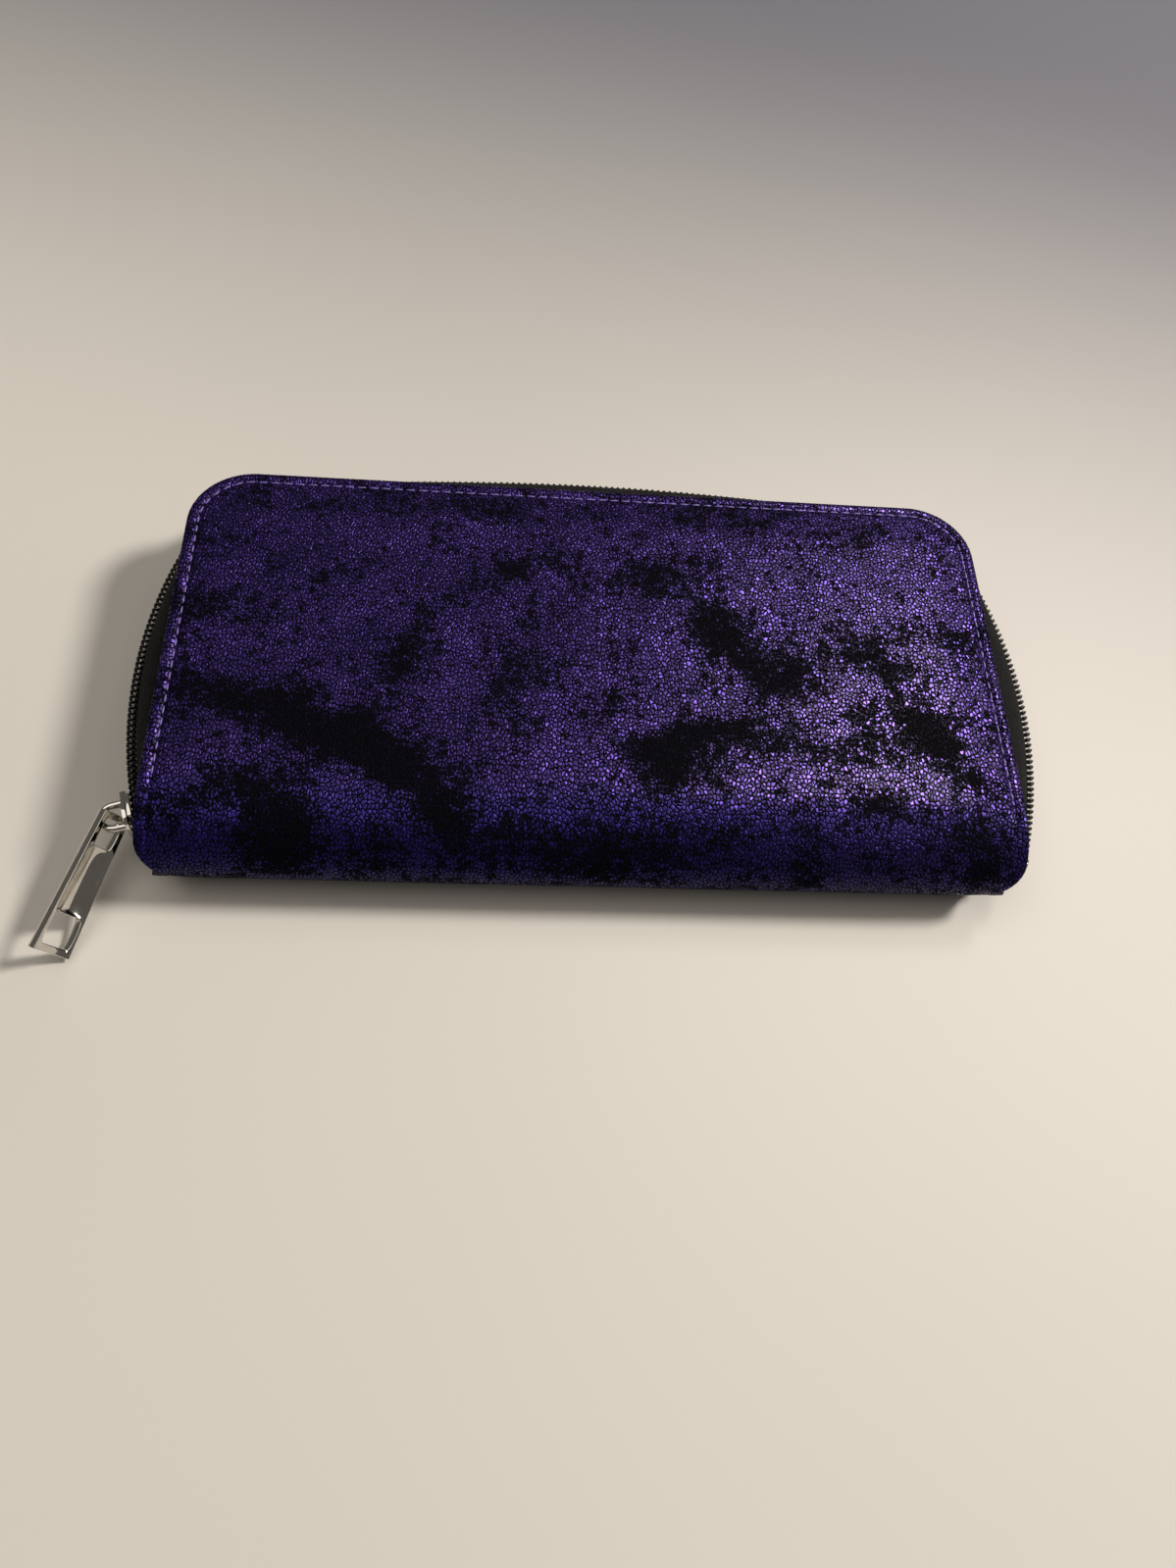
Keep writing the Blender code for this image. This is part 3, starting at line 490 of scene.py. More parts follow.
def nearest_inside(place, margin):
    """The nearest plan point on the cover's outline, moved inward by a margin."""
    core_x, core_y = HALF_LENGTH - FAR_CORNER, FAR_EDGE - FAR_CORNER
    side = -1.0 if place.x < 0 else 1.0
    if abs(place.x) <= core_x:
        return Vector((place.x, FAR_EDGE - margin))
    if place.y <= core_y:
        return Vector((side * (HALF_LENGTH - margin), place.y))
    core = Vector((side * core_x, core_y))
    return core + (place - core).normalized() * (FAR_CORNER - margin)


def inner_height(y):
    """Height of the lower cover's inner face."""
    def outer(at):
        share = min(max((SPINE_START - at) / SPINE_DEPTH, 0.0), 1.0)
        return MIDDLE * (1 - math.sqrt(1 - share * share))
    step = 0.1 * MM
    slope = (outer(y + step) - outer(y - step)) / (2 * step)
    return outer(y) + LEATHER * math.sqrt(1 + slope * slope)


def on_side(height, side):
    return height if side < 0 else TOP - height


# ---------------------------------------------------------------- node trees

class Wire:
    """One output of a node. Arithmetic on it adds the maths nodes, and [key] is another output of its node."""

    def __init__(self, socket):
        self.socket, self.tree = socket, socket.id_data

    def __getitem__(self, key):
        return Wire(self.socket.node.outputs[key])

    def maths(self, operation, other=0.0):
        return add_node(self.tree, "ShaderNodeMath", {"operation": operation}, i0=self, i1=other)

    def vector(self, operation, second, third=(0.0, 0.0, 0.0)):
        return add_node(self.tree, "ShaderNodeVectorMath", {"operation": operation}, i0=self, i1=second, i2=third)

    def __add__(self, other):
        return self.maths("ADD", other)

    def __sub__(self, other):
        return self.maths("SUBTRACT", other)

    def __mul__(self, other):
        return self.maths("MULTIPLY", other)


def fill(node, inputs):
    """Sets a node's inputs from values or wires; iN names input N."""
    for key, value in inputs.items():
        numbered = key[0] == "i" and key[1:].isdigit()
        socket = node.inputs[int(key[1:]) if numbered else key.replace("_", " ")]
        if isinstance(value, Wire):
            value.tree.links.new(value.socket, socket)
        else:
            socket.default_value = value


def add_node(tree, kind, settings=None, **inputs):
    """A node with its settings and its inputs, as the wire of its first output."""
    node = tree.nodes.new(kind)
    for key, value in (settings or {}).items():
        setattr(node, key, value)
    fill(node, inputs)
    return Wire(node.outputs[0])


def ramp(value, low, high, to_low=0.0, to_high=1.0):
    """A smooth change from one number to another."""
    settings = {"interpolation_type": "SMOOTHSTEP"}
    return add_node(value.tree, "ShaderNodeMapRange", settings, i0=value, i1=low, i2=high, i3=to_low, i4=to_high)


def rgba(colour, gain=1.0):
    return (colour[0] * gain, colour[1] * gain, colour[2] * gain, 1.0)


def blend_colours(share, first, second):
    return add_node(share.tree, "ShaderNodeMix", {"data_type": "RGBA"}, i0=share, i6=first, i7=second)[2]


def shades(share, colour, dark, light):
    """One colour between two gains."""
    return blend_colours(share, rgba(colour, dark), rgba(colour, light))


def stretched(vector, factors):
    return add_node(vector.tree, "ShaderNodeMapping", {"vector_type": "POINT"}, i0=vector, i3=factors)


def scaled(vector, *size):
    """Coordinates counted in steps of one size, or of three."""
    return stretched(vector, tuple(1 / part for part in (size if len(size) == 3 else size * 3)))


def noise_node(vector, scale=1.0, detail=3.0, roughness=0.55):
    return add_node(
        vector.tree, "ShaderNodeTexNoise", Vector=vector, Scale=scale, Detail=detail, Roughness=roughness
    )


def cells_node(vector, feature):
    settings = {"voronoi_dimensions": "2D", "feature": feature}
    return add_node(vector.tree, "ShaderNodeTexVoronoi", settings, Vector=vector, Scale=1.0)


def uv_steps(tree, *size):
    """The piece's own UV map, which is in metres, counted in steps of a size."""
    return scaled(add_node(tree, "ShaderNodeUVMap", {"uv_map": "UVMap"}), *size)


def object_steps(tree, *size):
    return scaled(add_node(tree, "ShaderNodeTexCoord")["Object"], *size)


def add_sockets(tree, inputs, outputs):
    """Gives a group its sockets: (label, kind, default) for the inputs, (label, kind) for the outputs."""
    for label, kind, default in inputs:
        socket = tree.interface.new_socket(label, in_out="INPUT", socket_type="NodeSocket" + kind)
        if default is not None:
            socket.default_value = default
    for label, kind in outputs:
        tree.interface.new_socket(label, in_out="OUTPUT", socket_type="NodeSocket" + kind)
    return Wire(tree.nodes.new("NodeGroupInput").outputs[0])


def shared_group(name, outputs, **numbers):
    """Turns a function that lays nodes from a vector and numbers into a shader group, made when first asked for."""
    def wrap(lay):
        def ready():
            group = bpy.data.node_groups.get(name)
            if group is None:
                group = bpy.data.node_groups.new(name, "ShaderNodeTree")
                inputs = [("Vector", "Vector", None)] + [(key, "Float", value) for key, value in numbers.items()]
                given = add_sockets(group, inputs, [(label, "Float") for label in outputs])
                fill(group.nodes.new("NodeGroupOutput"), dict(zip(outputs, lay(given["Vector"], given))))
            return group
        return ready
    return wrap


def use_group(vector, group, **inputs):
    """A group placed in a material, as the wire of its first output."""
    node = vector.tree.nodes.new("ShaderNodeGroup")
    node.node_tree = group
    fill(node, dict(inputs, Vector=vector))
    return Wire(node.outputs[0])


@shared_group("Crackled Foil", ("Foil", "Height", "Grain"), Wear=0.0, Gap=0.08, Tilt=0.6)
def crackle_group(vector, given):
    """Crackled foil: which grains still hold their foil, how they dome and how each one differs."""
    wear, centre = given["Wear"], (0.5, 0.5, 0.5)
    warp = noise_node(vector, 0.8, 3.0, 0.5)["Color"].vector("SUBTRACT", centre)
    place = warp.vector("MULTIPLY_ADD", (0.95, 0.95, 0.0), vector)
    cells = cells_node(place, "F1")
    edge = cells_node(place, "DISTANCE_TO_EDGE")["Distance"]
    grain = add_node(vector.tree, "ShaderNodeSeparateColor", i0=cells["Color"])
    fray = noise_node(vector, 2.7, 3.0, 0.65)
    ragged = edge + (fray - 0.5) * 0.36
    inside = ramp(ragged - (given["Gap"] + wear * 0.20), -0.03, 0.07)
    kept = ramp(grain * 0.86 + fray * 0.28 - wear, -0.07, 0.07)
    flakes = ramp(noise_node(vector, 1.6, 4.0, 0.75), 0.54, 0.62)
    strays = flakes * ramp(wear, 1.15, 0.7, 0.13, 0.7)
    lean = cells["Color"].vector("SUBTRACT", centre)
    slope = place.vector("SUBTRACT", cells["Position"]).vector("DOT_PRODUCT", lean)["Value"]
    height = ramp(edge, 0.0, 0.30) + slope * given["Tilt"]
    return (inside * kept).maths("MAXIMUM", strays), height, grain[1]


@shared_group("Plain Weave", ("Height", "Tone"))
def weave_group(vector, given):
    """Crossed yarns: their height, and a tone that varies at random from yarn to yarn and is darker in the hollows
    between the yarns, painted shade.
    """
    parts = add_node(vector.tree, "ShaderNodeSeparateXYZ", i0=vector)
    crossing = (parts[0] * math.pi).maths("SINE") * (parts[1] * math.pi).maths("SINE")
    height = crossing.maths("ABSOLUTE")
    # Painted shade: the tone follows the height, darker where the yarns dip.
    tone = (height * 0.6 + 0.4) * ramp(noise_node(vector, 0.35), 0.25, 0.8, 0.75, 1.15)
    return height * (crossing.maths("SIGN") * 0.12 + 0.88), tone


@shared_group("Herringbone", ("Height", "Tone"), Stripe=3.0)
def herringbone_group(vector, given):
    """Slanted ribs whose slant turns at every stripe, as in zip tape; their tone varies at random and is darker in the
    troughs between ribs, painted shade.
    """
    parts = add_node(vector.tree, "ShaderNodeSeparateXYZ", i0=vector)
    slant = (parts[0] + parts[1].maths("PINGPONG", given["Stripe"])) * (2 * math.pi)
    yarn = (parts[1] * (2 * math.pi)).maths("SINE").maths("ABSOLUTE")
    height = (slant.maths("SINE") * 0.5 + 0.5) * 0.75 + yarn * 0.25
    # Painted shade: the tone follows the rib height, darker in the troughs.
    return height, (height * 0.8 + 0.35) * ramp(noise_node(vector, 0.5), 0.3, 0.75, 0.7, 1.2)


@shared_group("Leather Grain", ("Height", "Tone"))
def grain_group(vector, given):
    """Fine pebbled leather grain with creases."""
    pebble = ramp(cells_node(vector, "DISTANCE_TO_EDGE")["Distance"], 0.0, 0.35)
    soft = noise_node(vector, 0.6, 4.0)
    return pebble * 0.7 + soft * 0.5, ramp(soft, 0.3, 0.7, 0.7, 1.25)


@shared_group("Handling Marks", ("Haze", "Height"))
def scuff_group(vector, given):
    """Hairline scratches and a faint haze, for polished metal."""
    return ramp(noise_node(vector, 0.35), 0.35, 0.75), noise_node(stretched(vector, (0.35, 2.2, 2.6)), 3.0)


# ---------------------------------------------------------------- materials

def finish(name):
    """Turns a function that lays a material's nodes into one that hands the material out, made when first asked for."""
    def wrap(lay):
        def ready():
            material = bpy.data.materials.get(name)
            if material is None:
                material = bpy.data.materials.new(name)
                material.use_nodes = True
                lay(material.node_tree)
            return material
        return ready
    return wrap


def shade(tree, height, depth, strength, **inputs):
    """Sets the material's shader, its spaces written as underscores, and its bump from a height."""
    if height:
        inputs["Normal"] = add_node(tree, "ShaderNodeBump", Strength=strength, Distance=depth, Height=height)
    fill(tree.nodes["Principled BSDF"], inputs)


@finish("crackled_foil")
def foil_material(tree):
    """Crackled violet foil over black leather, rubbed away in blots, with a painted blue reflection round the spine."""
    paint, pebble = colours(), sizes().pebble
    wear, spine = (
        add_node(tree, "ShaderNodeAttribute", {"attribute_name": label})["Fac"] for label in ("wear", "spine")
    )
    broad = uv_steps(tree, 10 * MM)
    blots = noise_node(broad, 0.85, 9.0, 0.68)
    speck = noise_node(uv_steps(tree, 2.6 * MM), 1.0, 4.0, 0.65)
    worn = ramp(wear * 0.60 + (blots - 0.5) * 2.3 + (speck - 0.5) * 2.3, -0.40, 0.92, 0.0, 1.15)
    grains = uv_steps(tree, pebble * 0.86, pebble * 1.14, pebble)
    foil = use_group(grains, crackle_group(), Wear=worn, Gap=0.125, Tilt=1.7)
    violet = shades(ramp(noise_node(broad, 0.5, 3.0, 0.5), 0.3, 0.7), paint.foil, 0.7, 1.25)
    # Painted reflection: the spine attribute blends the foil toward blue round the spine's curve.
    painted_reflection_tint = blend_colours(spine, violet, rgba(paint.foil_blue))
    toned = blend_colours(ramp(foil["Grain"], 0.0, 1.0, 0.0, 0.5), painted_reflection_tint, rgba(paint.foil_blue, 0.6))
    shade(
        tree, foil["Height"], 0.11 * MM, 0.95, Base_Color=blend_colours(foil, rgba(paint.base), toned),
        Metallic=foil * 0.62, Roughness=ramp(foil, 0.0, 1.0, 0.75, 0.29), Coat_Weight=foil * 0.08,
        Coat_Roughness=0.3, Specular_IOR_Level=0.02
    )


@finish("woven_lining")
def lining_material(tree):
    """Woven lining cloth."""
    cloth = use_group(uv_steps(tree, 0.32 * MM), weave_group())
    # The weave's tone carries painted shade in the hollows between yarns.
    shade(
        tree, cloth["Height"], 0.06 * MM, 0.8, Base_Color=shades(cloth["Tone"], colours().lining, 0.35, 1.25),
        Roughness=0.9, Sheen_Weight=0.03, Specular_IOR_Level=0.12
    )


@finish("herringbone_tape")
def tape_material(tree):
    """Woven zip tape with a herringbone rib."""
    tape = use_group(uv_steps(tree, 0.62 * MM), herringbone_group(), Stripe=2.6)
    # The tape's tone carries painted shade in the troughs between ribs.
    shade(
        tree, tape["Height"], 0.16 * MM, 0.9, Base_Color=shades(tape["Tone"], colours().tape, 0.25, 2.1),
        Roughness=ramp(tape["Tone"], 0.2, 1.1, 0.85, 0.58), Specular_IOR_Level=0.06
    )


@finish("black_nylon")
def coil_material(tree):
    """Glossy black nylon with small moulding flecks."""
    fleck = noise_node(object_steps(tree, 0.8 * MM))
    shade(
        tree, fleck, 0.02 * MM, 0.4, Base_Color=shades(fleck, colours().coil, 0.7, 1.5),
        Roughness=ramp(fleck, 0.3, 0.7, 0.24, 0.38), Specular_IOR_Level=0.35
    )


@finish("bright_plate")
def metal_material(tree):
    """Bright plated metal with a faint haze and hairlines."""
    marks = use_group(object_steps(tree, MM), scuff_group())
    shade(
        tree, marks["Height"], 0.004 * MM, 0.5, Base_Color=shades(marks, colours().metal, 1.0, 0.86),
        Roughness=ramp(marks, 0.0, 1.0, 0.07, 0.16), Metallic=1.0
    )


def thread_nodes(tree, colour):
    """Waxed sewing thread."""
    fibre = noise_node(object_steps(tree, 0.35 * MM))
    shade(
        tree, fibre, 0.05 * MM, 0.6, Base_Color=shades(fibre, colour, 0.55, 1.35),
        Roughness=ramp(fibre, 0.3, 0.7, 0.38, 0.6), Sheen_Weight=0.2
    )


@finish("seam_thread")
def seam_thread_material(tree):
    thread_nodes(tree, colours().thread)


@finish("dark_thread")
def dark_thread_material(tree):
    thread_nodes(tree, colours().dark_thread)


@finish("grained_panel")
def panel_material(tree):
    """Fine-grained black panel leather."""
    skin = use_group(uv_steps(tree, 0.7 * MM), grain_group())
    shade(
        tree, skin["Height"], 0.07 * MM, 0.8, Base_Color=shades(skin["Tone"], colours().panel, 0.6, 1.5),
        Roughness=ramp(skin["Tone"], 0.6, 1.3, 0.6, 0.42)
    )


@finish("pulp_board")
def board_material(tree):
    """Grey fibre board with flecks of darker fibre."""
    pulp = noise_node(object_steps(tree, MM), 0.8, 5.0, 0.65)
    fibres = noise_node(object_steps(tree, 4 * MM, 0.6 * MM, 0.6 * MM), 1.0, 3.0, 0.5)
    mixed = ramp(pulp, 0.3, 0.7) * ramp(fibres, 0.35, 0.6)
    shade(
        tree, pulp, 0.08 * MM, 0.7, Base_Color=shades(mixed, colours().board, 0.65, 1.25),
        Roughness=ramp(pulp, 0.3, 0.7, 0.95, 0.85)
    )


@finish("pale_floor")
def floor_material(tree):
    """A pale matt table top with a painted shadow that darkens it towards the far side."""
    place = add_node(tree, "ShaderNodeTexCoord")["Object"]
    # Painted shadow: the floor's colour turns dark grey towards the far side.
    painted_far_shadow = ramp(place.vector("DOT_PRODUCT", (0.30, 1.0, 0.0))["Value"], 0.0, 0.36)
    soft = shades(ramp(noise_node(place, 3.0), 0.3, 0.7), colours().floor, 0.97, 1.02)
    shade(
        tree, None, 0.0, 0.0, Base_Color=blend_colours(painted_far_shadow, soft, (0.165, 0.165, 0.19, 1.0)), Roughness=0.55,
        Specular_IOR_Level=0.3
    )


# ---------------------------------------------------------------- geometry nodes

def repeat_tree():
    """Places a unit at even steps along a path, its Z along the path and its X to the path's right."""
    name = "Repeat Along Path"
    tree = bpy.data.node_groups.get(name)
    if tree is not None:
        return tree
    tree = bpy.data.node_groups.new(name, "GeometryNodeTree")
    given = add_sockets(
        tree, (
            ("Path", "Geometry", None), ("Pitch", "Float", 2.9 * MM), ("Unit", "Object", None),
            ("Wobble", "Float", 0.0), ("Seed", "Int", 1), ("Material", "Material", None),
        ), [("Geometry", "Geometry")]
    )
    curve = add_node(tree, "GeometryNodeMeshToCurve", i0=given["Path"])
    upright = add_node(tree, "GeometryNodeSetCurveNormal", {"mode": "Z_UP"}, Curve=curve)
    points = add_node(tree, "GeometryNodeCurveToPoints", {"mode": "LENGTH"}, Curve=upright, Length=given["Pitch"])
    wobble = given["Wobble"]
    chance = add_node(
        tree, "FunctionNodeRandomValue", {"data_type": "FLOAT"}, i2=wobble * -1.0, i3=wobble, Seed=given["Seed"]
    )[1]
    spin = add_node(tree, "FunctionNodeEulerToRotation", i0=add_node(tree, "ShaderNodeCombineXYZ", i1=chance))
    facing = add_node(
        tree, "FunctionNodeRotateRotation", {"rotation_space": "LOCAL"}, i0=points["Rotation"], i1=spin
    )
    unit = add_node(tree, "GeometryNodeObjectInfo", Object=given["Unit"])["Geometry"]
    copies = add_node(tree, "GeometryNodeInstanceOnPoints", Points=points, Instance=unit, Rotation=facing)
    real = add_node(tree, "GeometryNodeRealizeInstances", i0=copies)
    painted = add_node(tree, "GeometryNodeSetMaterial", Geometry=real, Material=given["Material"])
    fill(tree.nodes.new("NodeGroupOutput"), {"Geometry": painted})
    return tree


def repeat_along(name, paths, pitch, unit, material, wobble=0.0, seed=1):
    """One plain mesh with the unit repeated along every path."""
    points, edges = [], []
    for path in paths:
        edges += [(step, step + 1) for step in range(len(points), len(points) + len(path) - 1)]
        points += [tuple(point) for point in path]
    obj = add_object(name, mesh_from(name, points, [], edges=edges))
    helper = add_object(name + "_unit", unit)
    helper.hide_render = True
    tree = repeat_tree()
    sockets = {item.name: item.identifier for item in tree.interface.items_tree if item.in_out == "INPUT"}
    step = obj.modifiers.new("repeat", "NODES")
    step.node_group = tree
    given = {"Pitch": pitch, "Unit": helper, "Wobble": wobble, "Seed": seed, "Material": material}
    for label, value in given.items():
        step[sockets[label]] = value
    apply_modifiers(obj)
    bpy.data.objects.remove(helper, do_unlink=True)
    bpy.data.meshes.remove(unit)
    obj.data.shade_smooth()
    return obj


def stitch_unit(length, radius, upper):
    """One stitch: a short thread whose ends dive into the cloth. Z runs along it, and -Y is up on an upper face."""
    half = [(0.12, 1.0, 0.0), (0.36, 0.85, 0.25), (0.5, 0.35, 0.75)]
    verts, sides = [], 6
    for share, width, dip in [(-share, width, dip) for share, width, dip in reversed(half)] + half:
        for step in range(sides):
            angle = 2 * math.pi * step / sides
            across, rise = width * math.cos(angle), width * 0.8 * math.sin(angle) + dip
            verts.append((radius * across, radius * rise, length * share))
    mesh = capped_tube("stitch_unit", verts, sides)
    if not upper:
        mesh.transform(Matrix.Diagonal((1, -1, 1, 1)))
        tidy_mesh(mesh)
    return mesh


def tooth_unit(pitch, across, tall, wire, hand):
    """One turn of a zip coil: its loop stands across the path, flatter towards the other coil."""
    verts, sides, steps = [], 5, 9
    for step in range(steps):
        share = step / (steps - 1)
        angle = math.pi + hand * 2 * math.pi * share
        outward = Vector((math.cos(angle), math.sin(angle), 0.0))
        centre = Vector((outward.x * (across - wire), outward.y * (tall - wire), (share - 0.5) * pitch))
        for side in range(sides):
            turn = 2 * math.pi * side / sides
            verts.append(centre + outward * math.cos(turn) * wire + Vector((0, 0, math.sin(turn) * wire * 0.92)))
    return capped_tube("tooth_unit", verts, sides)


# ---------------------------------------------------------------- finishing a piece

def finish_piece(obj, body, material=None, replaces=()):
    """Gives a piece its material, its body and the nodes that it stands for."""
    if material is not None:
        obj.data.materials.clear()
        obj.data.materials.append(material)
    if body:
        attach(obj, body)
    if replaces:
        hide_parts(*replaces)


def metal_piece(name, mesh, place, body, node):
    """Puts a plated casting in its place on its body."""
    mesh.transform(place)
    finish_piece(add_object(name, mesh), body, metal_material(), [node])


def add_coil(name, body, node, path, pitch, size, tall, wire, side):
    """Winds one coil of a zip along a path."""
    unit = tooth_unit(pitch, size, tall, wire, side)
    finish_piece(repeat_along(name, [path], pitch, unit, coil_material()), body, None, [node])


class WalletOperator:
    """What every operator here shares."""

    bl_options = {"REGISTER", "UNDO"}


# ---------------------------------------------------------------- leather

# Where handling has rubbed the foil away, in millimetres: x, y, half length, half width, turn and strength
WORN_SPOTS = (
    (-91, 12, 7, 3, 10, 0.8), (-76, -14, 9, 3.5, -15, 0.9), (-67, -19, 8, 4, -10, 0.8), (-53, -22, 11, 6, -20, 1.2),
    (-47, -29, 8, 4, -40, 0.9), (-41, 1, 13, 3, 50, 0.8), (-38, -34, 10, 3.5, -35, 1.1), (-30, -42, 8, 4, -60, 0.9),
    (-69, -39, 6, 8, 10, 1.0), (-63, -47, 8, 5, 0, 1.0), (-82, -37, 8, 3, 30, 0.7), (-19, 24, 6, 3, -30, 0.8),
    (-10, 27, 12, 2.5, 10, 0.45), (18, 24, 8, 5, 10, 1.0), (32, 8, 10, 6, -35, 1.0), (42, -3, 8, 4, -20, 0.8),
    (16, -27, 8, 6, 5, 1.25), (26, -19, 12, 3, 15, 0.9), (38, -21, 8, 3, 0, 0.8), (57, -22, 10, 3.5, 5, 0.95),
    (72, -14, 9, 5, -35, 1.0), (79, -24, 9, 4, -50, 1.0), (88, 10, 9, 4, 5, 0.95), (60, -34, 8, 3, -30, 0.9),
    (81, -40, 6, 4, 10, 0.9), (86, -48, 5, 6, 0, 0.7), (-4, -48, 14, 5, -5, 0.9), (18, -46, 12, 4, 0, 0.6),
    (45, -51, 3, 6, 0, 0.9), (-46, -50, 7, 4, 0, 0.7), (-25, 42, 20, 4, 3, 0.55), (28, 45, 16, 4, 0, 0.6),
    (66, 40, 14, 4, 5, 0.5), (4, -11, 5, 4, 20, 0.6), (-20, -9, 5, 9, 10, 0.5), (56, 2, 14, 6, 20, 0.5),
    (-14, 8, 8, 6, 40, 0.3), (70, 0, 9, 5, -30, 0.5), (-88, -12, 5, 8, 0, 0.55),
)


def wear_at(x, y):
    """How much foil has rubbed off the upper cover at a plan place."""
    shift = Vector((x * 90, y * 90, 2.5))
    across = x / MM + noise.noise(shift) * 3.2 + noise.noise(shift * 3.1) * 1.3
    depth = y / MM + noise.noise(shift + Vector((7.0, 3.0, 1.0))) * 3.2 + noise.noise(shift * 2.7) * 1.3
    total = -0.22
    for place_x, place_y, long, wide, turn, strength in WORN_SPOTS:
        cos, sin = math.cos(math.radians(turn)), math.sin(math.radians(turn))
        dx, dy = across - place_x, depth - place_y
        reach = ((dx * cos + dy * sin) / long) ** 2 + ((dy * cos - dx * sin) / wide) ** 2
        if reach < 9:
            total += strength * 1.25 * math.exp(-reach * 0.75)
    return total


def wrap_lift(x, y, z, face, reach):
    """How far the wrap stands off its flat level; round the spine it passes from the lower cover's to the upper's."""
    if face:
        return cover_lift(x, y, edge_distance(x, y), face > 0)
    low, high = (cover_lift(x, SPINE_START, reach - abs(x), upper) for upper in (False, True))
    blend = (1 - math.cos(math.pi * z / TOP)) / 2
    return (low * (1 - blend) + high * blend) * (1 - 0.5 * math.sin(math.pi * z / TOP))


class WALLET_OT_leather(WalletOperator, bpy.types.Operator):
    """Make the one piece of foil leather that wraps round both covers and the spine"""

    bl_idname = "wallet.leather"
    bl_label = "Leather Wrap"

    def execute(self, context):
        rows = section_rows()
        inner = HALF_LENGTH - EDGE_STEPS[-1]
        steps = 88
        columns = [(-1, value) for value in EDGE_STEPS]
        columns += [(0, -inner + 2 * inner * step / steps) for step in range(1, steps)]
        columns += [(1, value) for value in reversed(EDGE_STEPS)]
        outer, under, uvs, wear, spine = [], [], [], [], []
        girth = lengths_along([(0, row[0], row[1]) for row in rows])
        for (y, z, ny, nz, face), along in zip(rows, girth):
            tuck = smooth_step(0.62 * TOP - z, 0.0, 0.4 * TOP) * smooth_step(SPINE_EDGE + 13 * MM - y, 0.0, 11 * MM)
            reach = min(half_length_at(y), HALF_LENGTH - SPINE_TUCK * tuck)
            # Painted reflection: the share of painted blue round the spine, weaker towards the right end.
            spine_reflection_share = smooth_step(SPINE_START + 4 * MM - y, 0.0, 12 * MM)
            for kind, value in columns:
                x = kind * (reach - value) if kind else value * (reach - EDGE_STEPS[-1]) / inner
                half, turned = rounded_half(edge_distance(x, y), LEATHER)
                lift = wrap_lift(x, y, z, face, reach) * turned
                for skin, off in ((outer, half + lift), (under, lift * 0.4 - half)):
                    skin.append((x, y + ny * (off - LEATHER / 2), z + nz * (off - LEATHER / 2)))
                uvs.append((x, along))
                if face < 0 or (face == 0 and z < MIDDLE):
                    wear.append(0.55 * noise.noise(Vector((x * 40, y * 40, 9.0))))
                else:
                    wear.append(wear_at(x, y if face else y - (TOP - z) * 0.35))
                spine.append(spine_reflection_share * (1 - 0.7 * smooth_step(x, 0.0, 0.8 * HALF_LENGTH)))
        faces = grid_faces(len(rows), len(columns), len(outer))
        mesh = mesh_from("leather_wrap", outer + under, faces, uvs + uvs)
        # The spine attribute carries the share of the painted blue reflection.
        for label, values in (("wear", wear), ("spine", spine)):
            mesh.attributes.new(label, "FLOAT", "POINT").data.foreach_set("value", values + values)
        for number, polygon in enumerate(mesh.polygons):
            polygon.material_index = number % 2
        tidy_mesh(mesh, weld=0.004 * MM)
        obj = add_object("leather_wrap", mesh)
        mesh.materials.append(foil_material())
        mesh.materials.append(lining_material())
        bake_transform(obj)
        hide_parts("bottom_cover", "top_cover")
        return {"FINISHED"}


def seam_path(upper, inset):
    """The seam's line on one cover, from its left end round the far edge to its right end."""
    near, bend = SPINE_START + 2 * MM, FAR_EDGE - FAR_CORNER
    side = [(inset - HALF_LENGTH, near + (bend - near) * step / 24) for step in range(25)]
    corner = arc((FAR_CORNER - HALF_LENGTH, bend), FAR_CORNER - inset, 180, 90, 12)[1:]
    far = [((FAR_CORNER - HALF_LENGTH) * (1 - step / 20), FAR_EDGE - inset) for step in range(1, 20)]
    left = side + corner + far
    plan = left + [(0.0, FAR_EDGE - inset)] + [(-x, y) for x, y in reversed(left)]
    lifts = [cover_lift(x, y, edge_distance(x, y), upper) for x, y in plan]
    return [(x, y, TOP + lift if upper else -lift) for (x, y), lift in zip(plan, lifts)]


class WALLET_OT_seams(WalletOperator, bpy.types.Operator):
    """Sew the seam along the free edges of both covers"""

    bl_idname = "wallet.seams"
    bl_label = "Cover Seams"

    def execute(self, context):
        values = sizes()
        pitch = values.stitch_pitch
        for name, body, upper in (("upper_seam", "lid", True), ("lower_seam", "base", False)):
            unit = stitch_unit(pitch * 0.8, values.thread_radius, upper)
            path = seam_path(upper, values.seam_inset)
            sewn = repeat_along(name, [path], pitch, unit, seam_thread_material(), wobble=0.06, seed=11)
            finish_piece(sewn, body)
        return {"FINISHED"}


# ---------------------------------------------------------------- main zip

def tape_rows(side):
    """Rows of points across one half's tape, from the coil down and in under the cover."""
    rows = []
    for place, outward in zip_path(TAPE_END):
        upright = place - outward * TAPE_SETBACK
        edge, flap = nearest_inside(place, 1.5 * MM), nearest_inside(place, 6.0 * MM)
        level = inner_height(place.y) + 0.6 * MM
        fold = MIDDLE - min(TAPE_UPRIGHT, MIDDLE - level - 0.3 * MM)
        controls = (
            (upright, MIDDLE - COIL_OFFSET + COIL_SIZE), (upright, MIDDLE - (MIDDLE - fold) * 0.62),
            (upright.lerp(edge, 0.06), fold), (upright.lerp(edge, 0.45), fold - (fold - level) * 0.62),
            (upright.lerp(edge, 0.86), level + 0.05 * MM), (edge, level), (flap, level),
        )
        corners = [Vector((plan.x, plan.y, on_side(height, side))) for plan, height in controls]
        rows.append(soften(chain(corners, (2, 3, 3, 3, 3, 2)), 2))
    return rows


